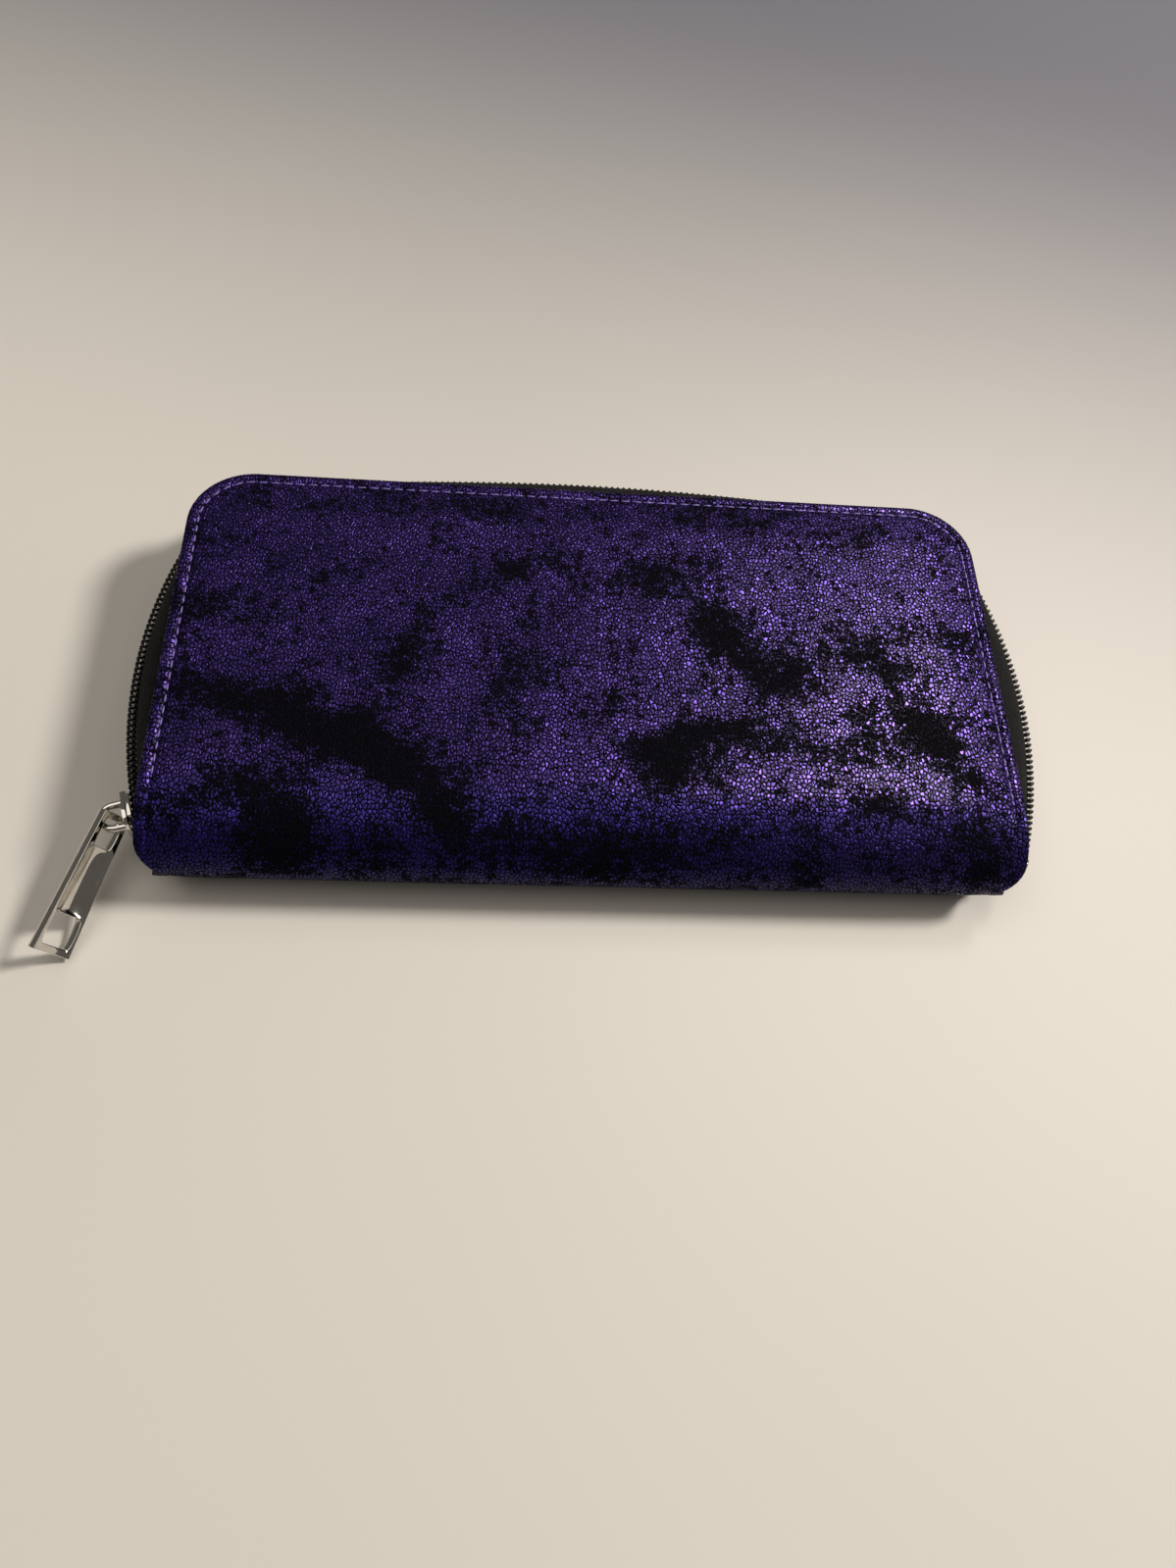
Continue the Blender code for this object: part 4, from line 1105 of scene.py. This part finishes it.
class WALLET_OT_zip_tapes(WalletOperator, bpy.types.Operator):
    """Weave the two halves of the main zip's tape"""

    bl_idname = "wallet.zip_tapes"
    bl_label = "Zip Tapes"

    def execute(self, context):
        for prefix, body, side in ZIP_HALVES:
            rows = tape_rows(side)
            tape = cloth_mesh(prefix + "_tape", rows, TAPE_THICKNESS)
            finish_piece(tape, body, tape_material(), [prefix + "_zip_tape"])
            length = lengths_along([row[0] for row in rows])[-1]
            width = lengths_along(rows[len(rows) // 2])[-1]
        return {"FINISHED"}


def stop_mesh(name, size, bevel, axis, pressed, waist):
    """A crimped metal stop with a waist pressed into it: along an axis, into the pressed axes, by a share."""
    mesh = rounded_box(name, size, bevel, 3)
    for vert in mesh.vertices:
        shrink = 1 - waist * math.exp(-(vert.co[axis] / bevel) ** 2)
        for other in pressed:
            vert.co[other] *= shrink
    return mesh


class WALLET_OT_zip_coils(WalletOperator, bpy.types.Operator):
    """Wind the two coils of the main zip and crimp the stops at their ends"""

    bl_idname = "wallet.zip_coils"
    bl_label = "Zip Coils"

    def execute(self, context):
        plan = zip_path(COIL_END, 1.5 * MM)
        centres = (zip_arcs()[0], zip_arcs()[-1])
        for prefix, body, side in ZIP_HALVES:
            path = [Vector((place.x, place.y, MIDDLE + side * (COIL_TALL + 0.08 * MM))) for place, _ in plan]
            if side > 0:
                path[0] = path[0].lerp(path[1], 0.5)
            add_coil(
                prefix + "_coil", body, prefix + "_zip_coil", path, sizes().coil_pitch, COIL_SIZE, COIL_TALL,
                0.42 * MM, side
            )
            for (label, hand), centre in zip(ENDS, centres):
                angle = math.asin((SPINE_EDGE + COIL_END - centre.y) / SIDE_RADIUS) - 1.2 * MM / SIDE_RADIUS
                across, along = hand * SIDE_RADIUS * math.cos(angle), SIDE_RADIUS * math.sin(angle)
                place = Matrix.Translation((centre.x + across, centre.y + along, MIDDLE + side * COIL_OFFSET))
                name = prefix + "_stop_" + label
                metal_piece(
                    name, stop_mesh(name, (2.3 * MM, 1.8 * MM, 2.3 * MM), 0.35 * MM, 1, (0, 2), 0.22),
                    place @ Matrix.Rotation(hand * angle, 4, "Z"), body, prefix + "_zip_stop_" + label
                )
        return {"FINISHED"}


# ---------------------------------------------------------------- sliders and pulls

def slider_frame():
    """The slider's own frame: +X inward, +Y along the zip, the origin on the coil line."""
    left = zip_arcs()[0]
    turn = Matrix.Rotation(-math.asin((SPINE_EDGE + SLIDER_REST - left.y) / SIDE_RADIUS), 4, "Z")
    place = Vector((left.x, left.y, MIDDLE)) + turn @ Vector((-SIDE_RADIUS, 0.0, 0.0))
    return Matrix.Translation(place) @ turn


def slider_outline(length, width):
    """A slider plate as (along the zip, across it): broad shoulders, a narrower tail, rounded all over."""
    points = []
    for share, breadth in (
        (-1.0, 0.42), (-0.93, 0.66), (-0.78, 0.86), (-0.55, 0.98), (-0.25, 1.0), (0.05, 0.97),
        (0.35, 0.9), (0.62, 0.84), (0.85, 0.78), (0.96, 0.68), (1.0, 0.5),
    ):
        points.append((length / 2 * share, -width / 2 * breadth * (1.0 if share < 0.3 else 0.9)))
    return points + [(x, -y) for x, y in reversed(points)]


def stand_up(mesh, start, sign):
    """Turns a flat plate to stand across the slider's X, its upper face outward where the sign is -1."""
    mesh.transform(Matrix(((0, 0, sign, start), (1, 0, 0, 0), (0, sign, 0, 0), (0, 0, 0, 1))))
    return mesh


def slider_mesh(name, length, width, outside, inside, plate, neck, flange, coil):
    """A slider body: a domed outer plate, an inner plate, the neck between them and two side flanges."""
    outline = slider_outline(length, width)
    dome = plate_with_edge(name + "_outer", outline, plate, plate * 0.3, plate * 0.14)
    back = plate_with_edge(name + "_inner", outline, plate, plate * 0.3)
    post = rounded_box(name + "_neck", (outside + inside, length * 0.28, neck), neck * 0.3)
    post.transform(Matrix.Translation(((inside - outside) / 2 + plate * 0.5, -length * 0.27, 0.0)))
    parts = [stand_up(dome, plate / 2 - outside, -1), stand_up(back, inside + plate / 2, 1), post]
    for sign in (-1, 1):
        wall = rounded_box(name + "_flange", (coil * 0.95, length * 0.62, flange), flange * 0.3)
        wall.transform(Matrix.Translation((-outside + plate + coil * 0.35, 0.0, sign * (width / 2 - flange * 0.62))))
        parts.append(wall)
    return join_meshes(name, parts)


def loop_mesh(name, foot, reach, eye, wire, spread):
    """The loop that a pull hangs on: thick at its crown, spreading into feet on the plate."""
    radius, turns = eye + wire, 22
    feet = [(foot + wire * 0.5, spread), (foot - wire * 0.25, spread * 0.99)]
    points = [(x, -y, 0.0) for x, y in feet]
    for step in range(turns + 1):
        angle = math.radians(-90 - 180 * step / turns)
        points.append((foot - reach + radius * math.cos(angle), radius * math.sin(angle), 0.0))
    points += [(x, y, 0.0) for x, y in reversed(feet)]
    total = len(points) - 1
    radii = [wire * (1.0 + 0.22 * abs(2 * number / total - 1) ** 3) for number in range(total + 1)]
    return tube_mesh(name, points, radii, 14)


def build_slider(name, place, casting, loop):
    """Casts a slider and the loop on its back: the sizes of its body, then of its loop."""
    body, bail = name + "_casting", name + "_loop"
    metal_piece(body, slider_mesh(body, *casting), place, name, name + "_body")
    metal_piece(bail, loop_mesh(bail, -casting[2], *loop), place, name, name + "_bail")


class WALLET_OT_slider(WalletOperator, bpy.types.Operator):
    """Cast the main slider and the loop on its back"""

    bl_idname = "wallet.slider"
    bl_label = "Slider"

    def execute(self, context):
        casting = (9.0 * MM, 8.4 * MM, SLIDER_OUTSIDE, SLIDER_INSIDE, 1.0 * MM, 0.8 * MM, 0.9 * MM, COIL_SIZE)
        build_slider("slider", slider_frame(), casting, (LOOP_REACH, 2.05 * MM, 0.75 * MM, 2.9 * MM))
        return {"FINISHED"}


def pull_frame():
    """The pull's own frame: +X to its free end, +Y to its raised edge, the origin in its end bar."""
    along = Vector((-0.332, -0.910, -0.250)).normalized()
    edge = Vector((-0.538, -0.035, 0.842))
    edge = (edge - along * edge.dot(along)).normalized()
    turn = Matrix((along, edge, along.cross(edge))).transposed().to_4x4()
    return Matrix.Translation(slider_frame() @ Vector((-SLIDER_OUTSIDE - LOOP_REACH, 0.0, 0.0))) @ turn


def pull_mesh(name, length, narrow, wide, thick, bar, slot, window, scoop):
    """A tapered tab with a slot for the loop, a window near its free end and a scooped face.

    slot is (length, width); window is (start, length, width), or None. The cage is rounded by
    subdivision, and the scooped face is the one towards -Z.
    """
    start, slot_start = -bar / 2, bar / 2
    end, slot_end = start + length, bar / 2 + slot[0]
    round_off = 0.42 * MM
    holes = [(slot_start, slot_end, slot[1])]
    closing, stop = [], end - 1.5 * MM
    if window:
        first = start + window[0]
        last = first + window[1]
        holes.append((first, last, window[2]))
        closing, stop = [first, first + 1.2 * MM, last - 1.2 * MM, last], first - 0.6 * MM
    stations = [start, start + round_off, slot_start, slot_start + 0.9 * MM, slot_end - 0.9 * MM, slot_end]
    face = slot_end + 0.8 * MM
    stations += [face + (stop - face) * step / 5 for step in range(6)]
    stations += closing + [end - round_off, end]
    rim, frame_line, inner_line = 0.86, 0.62, 0.3
    lines = [-1.0, -rim, -frame_line, -inner_line, 0.0, inner_line, frame_line, rim, 1.0]

    def half_width(x):
        return (narrow + (wide - narrow) * (x - start) / length) / 2

    def across(x, line):
        half, size = half_width(x), abs(line)
        sign = 1 if line > 0 else -1
        hole = next((item for item in holes if item[0] - 0.7 * MM <= x <= item[1] + 0.7 * MM), None)
        if hole and size in (frame_line, inner_line):
            inside = hole[2] / 2 if size == frame_line else hole[2] / 4
            if size == frame_line and min(abs(x - hole[0]), abs(x - hole[1])) < 0.05 * MM:
                inside *= 0.86
            return sign * min(inside, half - 0.7 * MM)
        if size == frame_line:
            return sign * half * 0.68
        return sign * (half - 0.38 * MM) if size == rim else line * half

    def scooped(x, y):
        inner = 1 - min(abs(y) / (half_width(x) - 0.3 * MM), 1.0) ** 2
        low, high = slot_end + 0.5 * MM, (holes[1][0] - 0.3 * MM if window else end - 1.2 * MM)
        closes = 1 - smooth_step(x, high - 0.6 * MM, high + 0.9 * MM) * 0.75
        return thick * scoop * inner * smooth_step(x, low - 1.2 * MM, low + 1.0 * MM) * closes

    def is_open(i, j):
        if not (0 <= i < len(stations) - 1 and 0 <= j < len(lines) - 1):
            return True
        x = (stations[i] + stations[i + 1]) / 2
        return 2 <= j <= len(lines) - 4 and any(hole[0] < x < hole[1] for hole in holes)

    verts, index = [], {}
    for level, sign in ((0, -1), (1, 1)):
        for i, x in enumerate(stations):
            for j, line in enumerate(lines):
                y = across(x, line)
                index[level, i, j] = len(verts)
                verts.append((x, y, sign * thick / 2 + (scooped(x, y) if sign < 0 else 0.0)))
    faces = []
    for i in range(len(stations) - 1):
        for j in range(len(lines) - 1):
            if is_open(i, j):
                continue
            ring = ((i, j), (i + 1, j), (i + 1, j + 1), (i, j + 1))
            faces.append(tuple(index[(1, *key)] for key in ring))
            faces.append(tuple(index[(0, *key)] for key in reversed(ring)))
            for p, q, other in zip(ring, ring[1:] + ring[:1], ((i, j - 1), (i + 1, j), (i, j + 1), (i - 1, j))):
                if is_open(*other):
                    faces.append((index[(0, *p)], index[(0, *q)], index[(1, *q)], index[(1, *p)]))
    mesh = tidy_mesh(mesh_from(name, verts, faces))
    work = bmesh.new()
    work.from_mesh(mesh)
    crease = work.edges.layers.float.new("crease_edge")
    for edge in work.edges:
        if edge.calc_face_angle(0.0) > math.radians(55):
            edge[crease] = 0.45
    work.to_mesh(mesh)
    work.free()
    obj = add_object(name, mesh)
    rounder = obj.modifiers.new("round", "SUBSURF")
    rounder.levels = rounder.render_levels = 2
    apply_modifiers(obj)
    obj.data.shade_smooth()
    return obj


def add_pull(name, body, node, place, *details):
    pull = pull_mesh(name, *details)
    pull.data.transform(place)
    finish_piece(pull, body, metal_material(), [node])


class WALLET_OT_pull(WalletOperator, bpy.types.Operator):
    """Cast the main pull with its slot, its window and its scooped face"""

    bl_idname = "wallet.pull"
    bl_label = "Pull"

    def execute(self, context):
        slot, window = (6.3 * MM, 4.4 * MM), (22.9 * MM, 6.9 * MM, 7.2 * MM)
        add_pull(
            "zip_pull", "pull", "pull_tab", pull_frame(), 31.4 * MM, 6.4 * MM, 8.9 * MM, 2.2 * MM, 1.4 * MM, slot,
            window, 0.85
        )
        return {"FINISHED"}


# ---------------------------------------------------------------- inside the covers

def soft_plate(name, node, near_radius, far_radius, facing, hem=0.0):
    """A thin soft panel in a node's place, with rounded corners, rolled rims and a raised hem at its far edge.

    facing is 1 where the panel's free face looks up and -1 where it looks down.
    """
    (_, near, bottom), (half_length, far, top_level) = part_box(node)
    level = (bottom + top_level) / 2
    margins = [step * MM for step in (0.0, 0.1, 0.3, 0.7, 1.3, 2.2, 3.2, 5.0)]

    def spread(low, high, count):
        start, span = low + margins[-1], high - low - 2 * margins[-1]
        inner = [start + span * step / count for step in range(1, count)]
        return [low + margin for margin in margins] + inner + [high - margin for margin in reversed(margins)]

    ys = spread(near, far, max(int((far - near) / (5 * MM)), 3))
    columns = spread(-half_length, half_length, 36)
    top, under, uvs = [], [], []
    for y in ys:
        reach = half_length - corner_cut(far_radius, y - far + far_radius)
        reach -= corner_cut(near_radius, near + near_radius - y)
        ridge = hem * (1 - smooth_step(far - y, 2.6 * MM, 3.2 * MM))
        for column in columns:
            x = column * reach / half_length
            half, turned = rounded_half(max(min(reach - abs(x), far - y, y - near), 0.0), PANEL)
            top.append((x, y, level + facing * (half + ridge * turned)))
            under.append((x, y, level - facing * half))
            uvs.append((x, y))
    mesh = mesh_from(name, top + under, grid_faces(len(ys), len(columns), len(top)), uvs + uvs)
    tidy_mesh(mesh, weld=0.003 * MM)
    return add_object(name, mesh)


class WALLET_OT_linings(WalletOperator, bpy.types.Operator):
    """Lay the lining cloth inside both covers, over the boards"""

    bl_idname = "wallet.linings"
    bl_label = "Linings and Boards"

    def execute(self, context):
        for prefix, body, facing in COVERS:
            node = prefix + "_lining"
            low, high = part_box(node)
            lining = soft_plate(node + "_cloth", node, 2 * MM, FAR_CORNER - 2.5 * MM, facing)
            finish_piece(lining, body, lining_material(), [node])
            2 * high[0]
            high[1] - low[1]
            board = bpy.data.objects[prefix + "_board"]
            board.data.materials.clear()
            board.data.materials.append(board_material())
        return {"FINISHED"}


class WALLET_OT_card_rows(WalletOperator, bpy.types.Operator):
    """Stack the four stepped card rows in each half and sew their hems and their middle seam"""

    bl_idname = "wallet.card_rows"
    bl_label = "Card Rows"

    def execute(self, context):
        for prefix, body, facing in COVERS:
            nodes = [prefix + "_card_row_" + str(row) for row in range(1, 5)]
            fronts = [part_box(node)[1][1] for node in nodes[1:]] + [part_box(nodes[-1])[0][1] + 6 * MM]
            paths = []
            for node, next_front in zip(nodes, fronts):
                low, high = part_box(node)
                panel = soft_plate(node + "_panel", node, 3 * MM, 3 * MM, facing, hem=0.10 * MM)
                finish_piece(panel, body, panel_material(), [node])
                level = (low[2] + high[2]) / 2
                hem = level + facing * 0.36 * MM
                paths.append([(x * MM, high[1] - 1.9 * MM, hem) for x in range(-82, 83, 4)])
                span = high[1] - 4.0 * MM - next_front
                steps = max(int((span + 0.6 * MM) / (2 * MM)), 2)
                for x in (-0.6 * MM, 0.6 * MM):
                    start, face = next_front + 0.6 * MM, level + facing * 0.27 * MM
                    paths.append([(x, start + span * step / steps, face) for step in range(steps + 1)])
            unit = stitch_unit(2.0 * MM, 0.17 * MM, facing > 0)
            seams = prefix + "_card_seams"
            sewn = repeat_along(seams, paths, 2.6 * MM, unit, dark_thread_material(), wobble=0.05, seed=5)
            finish_piece(sewn, body)
        return {"FINISHED"}


# ---------------------------------------------------------------- coin pocket and its zip

class WALLET_OT_coin_pocket(WalletOperator, bpy.types.Operator):
    """Make the two cloth panels of the coin pocket that divides the wallet"""

    bl_idname = "wallet.coin_pocket"
    bl_label = "Coin Pocket"

    def execute(self, context):
        for label, _, side in ZIP_HALVES:
            node = "coin_pocket_" + label + "_panel"
            (_, near, _), (reach, far, _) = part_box(node)
            rows = []
            for y in (near + (far - near) * step / 40 for step in range(41)):
                flare = smooth_step(y, far - 10 * MM, far - 1.5 * MM) * 1.5 * MM
                row = []
                for x in (-reach + 2 * reach * step / 60 for step in range(61)):
                    inner = smooth_step(min(reach - abs(x), y - near), 0.0, 12 * MM)
                    inner *= smooth_step(far - y, 8 * MM, 16 * MM)
                    puff = (0.10 + 0.14 * noise.noise(Vector((x * 28, y * 24, side * 3.0)))) * MM * inner
                    row.append((x, y, MIDDLE + side * (1.1 * MM + flare + puff)))
                rows.append(row)
            panel = cloth_mesh(node + "_cloth", rows, CLOTH)
            finish_piece(panel, "divider", lining_material(), [node])
        return {"FINISHED"}


class WALLET_OT_coin_zip(WalletOperator, bpy.types.Operator):
    """Make the coin zip: tapes, coils, stops, slider and pull"""

    bl_idname = "wallet.coin_zip"
    bl_label = "Coin Zip"

    def execute(self, context):
        pitch = sizes().coin_coil_pitch
        for label, _, side in ZIP_HALVES:
            node = "coin_zip_" + label + "_tape"
            low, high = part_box(node)
            y = (low[1] + high[1]) / 2
            profile = [(y, 0.6 * MM), (y, 1.2 * MM), (y, 1.8 * MM), (y - 0.1 * MM, 2.2 * MM)]
            for back in (y - 0.6 * MM - part * 0.95 * MM for part in range(10)):
                profile.append((back, 0.48 * MM + 1.5 * MM * smooth_step(back, 26.7 * MM, 35.2 * MM)))
            rows = []
            for x in (-high[0] + 2 * high[0] * step / 85 for step in range(86)):
                rows.append(soften([(x, depth, MIDDLE + side * rise) for depth, rise in profile], 1))
            tape = cloth_mesh(node + "_weave", rows, 0.45 * MM)
            finish_piece(tape, "divider", tape_material(), [node])
            2 * high[0]
            lengths_along(rows[0])[-1]
            shift, height = (pitch / 2 if side > 0 else 0.0), MIDDLE + side * (COIN_TALL + 0.05 * MM)
            path = [(-COIN_HALF + shift + 2 * COIN_HALF * step / 60, COIN_LINE, height) for step in range(61)]
            add_coil(
                "coin_" + label + "_coil", "divider", "coin_zip_" + label + "_coil", path, pitch, COIN_COIL,
                COIN_TALL, 0.27 * MM, side
            )
        for label, _ in ENDS:
            node = "coin_zip_stop_" + label
            low, high = (Vector(corner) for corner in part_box(node))
            mesh = stop_mesh(node + "_metal", tuple(high - low), 0.3 * MM, 0, (1,), 0.2)
            metal_piece(node + "_metal", mesh, Matrix.Translation((high + low) / 2), "divider", node)
        place = Matrix.Translation((COIN_REST, COIN_LINE, MIDDLE)) @ Matrix.Rotation(math.radians(-90), 4, "Z")
        casting = (6.5 * MM, 5.6 * MM, COIN_OUTSIDE, COIN_INSIDE, 0.7 * MM, 0.6 * MM, 0.6 * MM, COIN_COIL)
        build_slider("coin_slider", place, casting, (COIN_LOOP_REACH, 1.15 * MM, 0.5 * MM, 1.755 * MM))
        eye = place @ Vector((-COIN_OUTSIDE - COIN_LOOP_REACH, 0.0, 0.0))
        upright = Matrix(((1, 0, 0, 0), (0, 0, -1, 0), (0, 1, 0, 0), (0, 0, 0, 1)))
        add_pull(
            "coin_pull", "coin_pull", "coin_pull_tab", Matrix.Translation(eye) @ upright, 18.0 * MM, 3.83 * MM,
            4.5 * MM, 1.0 * MM, 1.0 * MM, (4.0 * MM, 2.2 * MM), None, 0.3
        )
        return {"FINISHED"}


class WALLET_OT_gussets(WalletOperator, bpy.types.Operator):
    """Pleat the cloth that closes the note compartments at both short ends"""

    bl_idname = "wallet.gussets"
    bl_label = "Gussets"

    def execute(self, context):
        sewn_at, first_fold, second_fold = 3.6 * MM, 6.8 * MM, 10.1 * MM
        for label, hand in ENDS:
            rows = []
            for y in (GUSSET_NEAR + (GUSSET_FAR - GUSSET_NEAR) * step / 30 for step in range(31)):
                fold = GUSSET_EDGE - 20 * MM * (y - SPINE_EDGE) / (GUSSET_FAR - SPINE_EDGE)
                lower = [
                    (GUSSET_EDGE, sewn_at), (GUSSET_EDGE, first_fold), (fold, first_fold), (fold, second_fold),
                    (GUSSET_EDGE, second_fold),
                ]
                corners = lower + [(x, TOP - z) for x, z in reversed(lower)]
                parts = [10 if abs(a[0] - b[0]) > MM else 4 for a, b in zip(corners, corners[1:])]
                rows.append(soften(chain([Vector((hand * x, y, z)) for x, z in corners], parts), 1))
            gusset = cloth_mesh("gusset_" + label + "_cloth", rows, GUSSET_CLOTH)
            finish_piece(gusset, None, lining_material(), ["gusset_" + label])
            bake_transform(gusset)
            length, width = lengths_along([row[0] for row in rows])[-1], lengths_along(rows[15])[-1]
        return {"FINISHED"}


# ---------------------------------------------------------------- stage

def add_light(name, target, offset, size, power, colour):
    """A round soft light at an offset from the place that it looks at."""
    data = bpy.data.lights.new(name, "AREA")
    data.shape, data.size, data.energy, data.color = "DISK", size, power, colour
    light = add_object(name, data)
    light.location = target + offset
    light.rotation_euler = offset.to_track_quat("Z", "Y").to_euler()
    return light


class WALLET_OT_stage(WalletOperator, bpy.types.Operator):
    """Lay the pale floor, set the soft lights and place the camera"""

    bl_idname = "wallet.stage"
    bl_label = "Stage"

    def execute(self, context):
        half = 6.0
        corners = [(-half, -half, 0.0), (half, -half, 0.0), (half, half, 0.0), (-half, half, 0.0)]
        floor = add_object("floor", mesh_from("floor", corners, [(0, 1, 2, 3)]))
        floor.data.materials.append(floor_material())
        centre, spot = Vector((0.0, 0.0, MIDDLE)), Vector((0.069, -0.056, TOP))
        add_light("key_light", centre, Vector((0.72, 0.14, 0.68)) * 2.5, 0.50, 56.0, (1.0, 0.965, 0.92))
        lamp = add_light("lamp_light", spot, Vector((0.34, 0.50, 0.80)) * 1.15, 0.24, 20.0, (1.0, 0.86, 0.80))
        lamp.visible_diffuse = False
        add_light("ceiling_light", centre, Vector((-0.5, 0.0, 1.9)), 2.0, 12.0, (1.0, 0.97, 0.93))
        scene = context.scene
        scene.world = scene.world or bpy.data.worlds.new("World")
        scene.world.use_nodes = True
        tree = scene.world.node_tree
        glow = add_node(tree, "ShaderNodeLightPath")["Is Camera Ray"] * 0.5 + 0.12
        fill(tree.nodes["Background"], {"Color": (1.0, 0.93, 0.87, 1.0), "Strength": glow})
        camera = bpy.data.cameras.new("camera")
        camera.sensor_width = SENSOR
        camera.lens = FOCAL_LENGTH
        camera.clip_start = 0.01
        forward = Vector(CAMERA_FORWARD).normalized()
        right = forward.cross(Vector(CAMERA_UP)).normalized()
        turn = Matrix((right, right.cross(forward), -forward)).transposed().to_4x4()
        rig = add_object("camera", camera)
        rig.matrix_world = Matrix.Translation(CAMERA_PLACE) @ turn
        bpy.context.scene.camera = rig
        scene.view_settings.view_transform = "Standard"
        return {"FINISHED"}


# ---------------------------------------------------------------- panel and registration

OPERATORS = (
    WALLET_OT_stage, WALLET_OT_leather, WALLET_OT_seams, WALLET_OT_zip_tapes, WALLET_OT_zip_coils,
    WALLET_OT_slider, WALLET_OT_pull, WALLET_OT_linings, WALLET_OT_card_rows, WALLET_OT_coin_pocket,
    WALLET_OT_coin_zip, WALLET_OT_gussets,
)


class WALLET_PT_panel(bpy.types.Panel):
    """Sizes, colours and the operators that make each piece"""

    bl_label = "Wallet"
    bl_idname = "WALLET_PT_panel"
    bl_space_type = "VIEW_3D"
    bl_region_type = "UI"
    bl_category = "Wallet"

    def draw(self, context):
        layout = self.layout
        for settings in (context.scene.wallet_sizes, context.scene.wallet_colours):
            box = layout.box()
            for name in settings.bl_rna.properties.keys():
                if name not in {"rna_type", "name"}:
                    box.prop(settings, name)
        for operator in OPERATORS:
            layout.operator(operator.bl_idname)


CLASSES = (WalletSizes, WalletColours, *OPERATORS, WALLET_PT_panel)


def register():
    for item in CLASSES:
        bpy.utils.register_class(item)
    bpy.types.Scene.wallet_sizes = PointerProperty(type=WalletSizes)
    bpy.types.Scene.wallet_colours = PointerProperty(type=WalletColours)


def unregister():
    del bpy.types.Scene.wallet_colours
    del bpy.types.Scene.wallet_sizes
    for item in reversed(CLASSES):
        bpy.utils.unregister_class(item)


def main():
    register()
    bpy.ops.wallet.stage()
    bpy.ops.wallet.leather()
    bpy.ops.wallet.seams()
    bpy.ops.wallet.zip_tapes()
    bpy.ops.wallet.zip_coils()
    bpy.ops.wallet.slider()
    bpy.ops.wallet.pull()
    bpy.ops.wallet.linings()
    bpy.ops.wallet.card_rows()
    bpy.ops.wallet.coin_pocket()
    bpy.ops.wallet.coin_zip()
    bpy.ops.wallet.gussets()


if __name__ == "__main__":
    main()
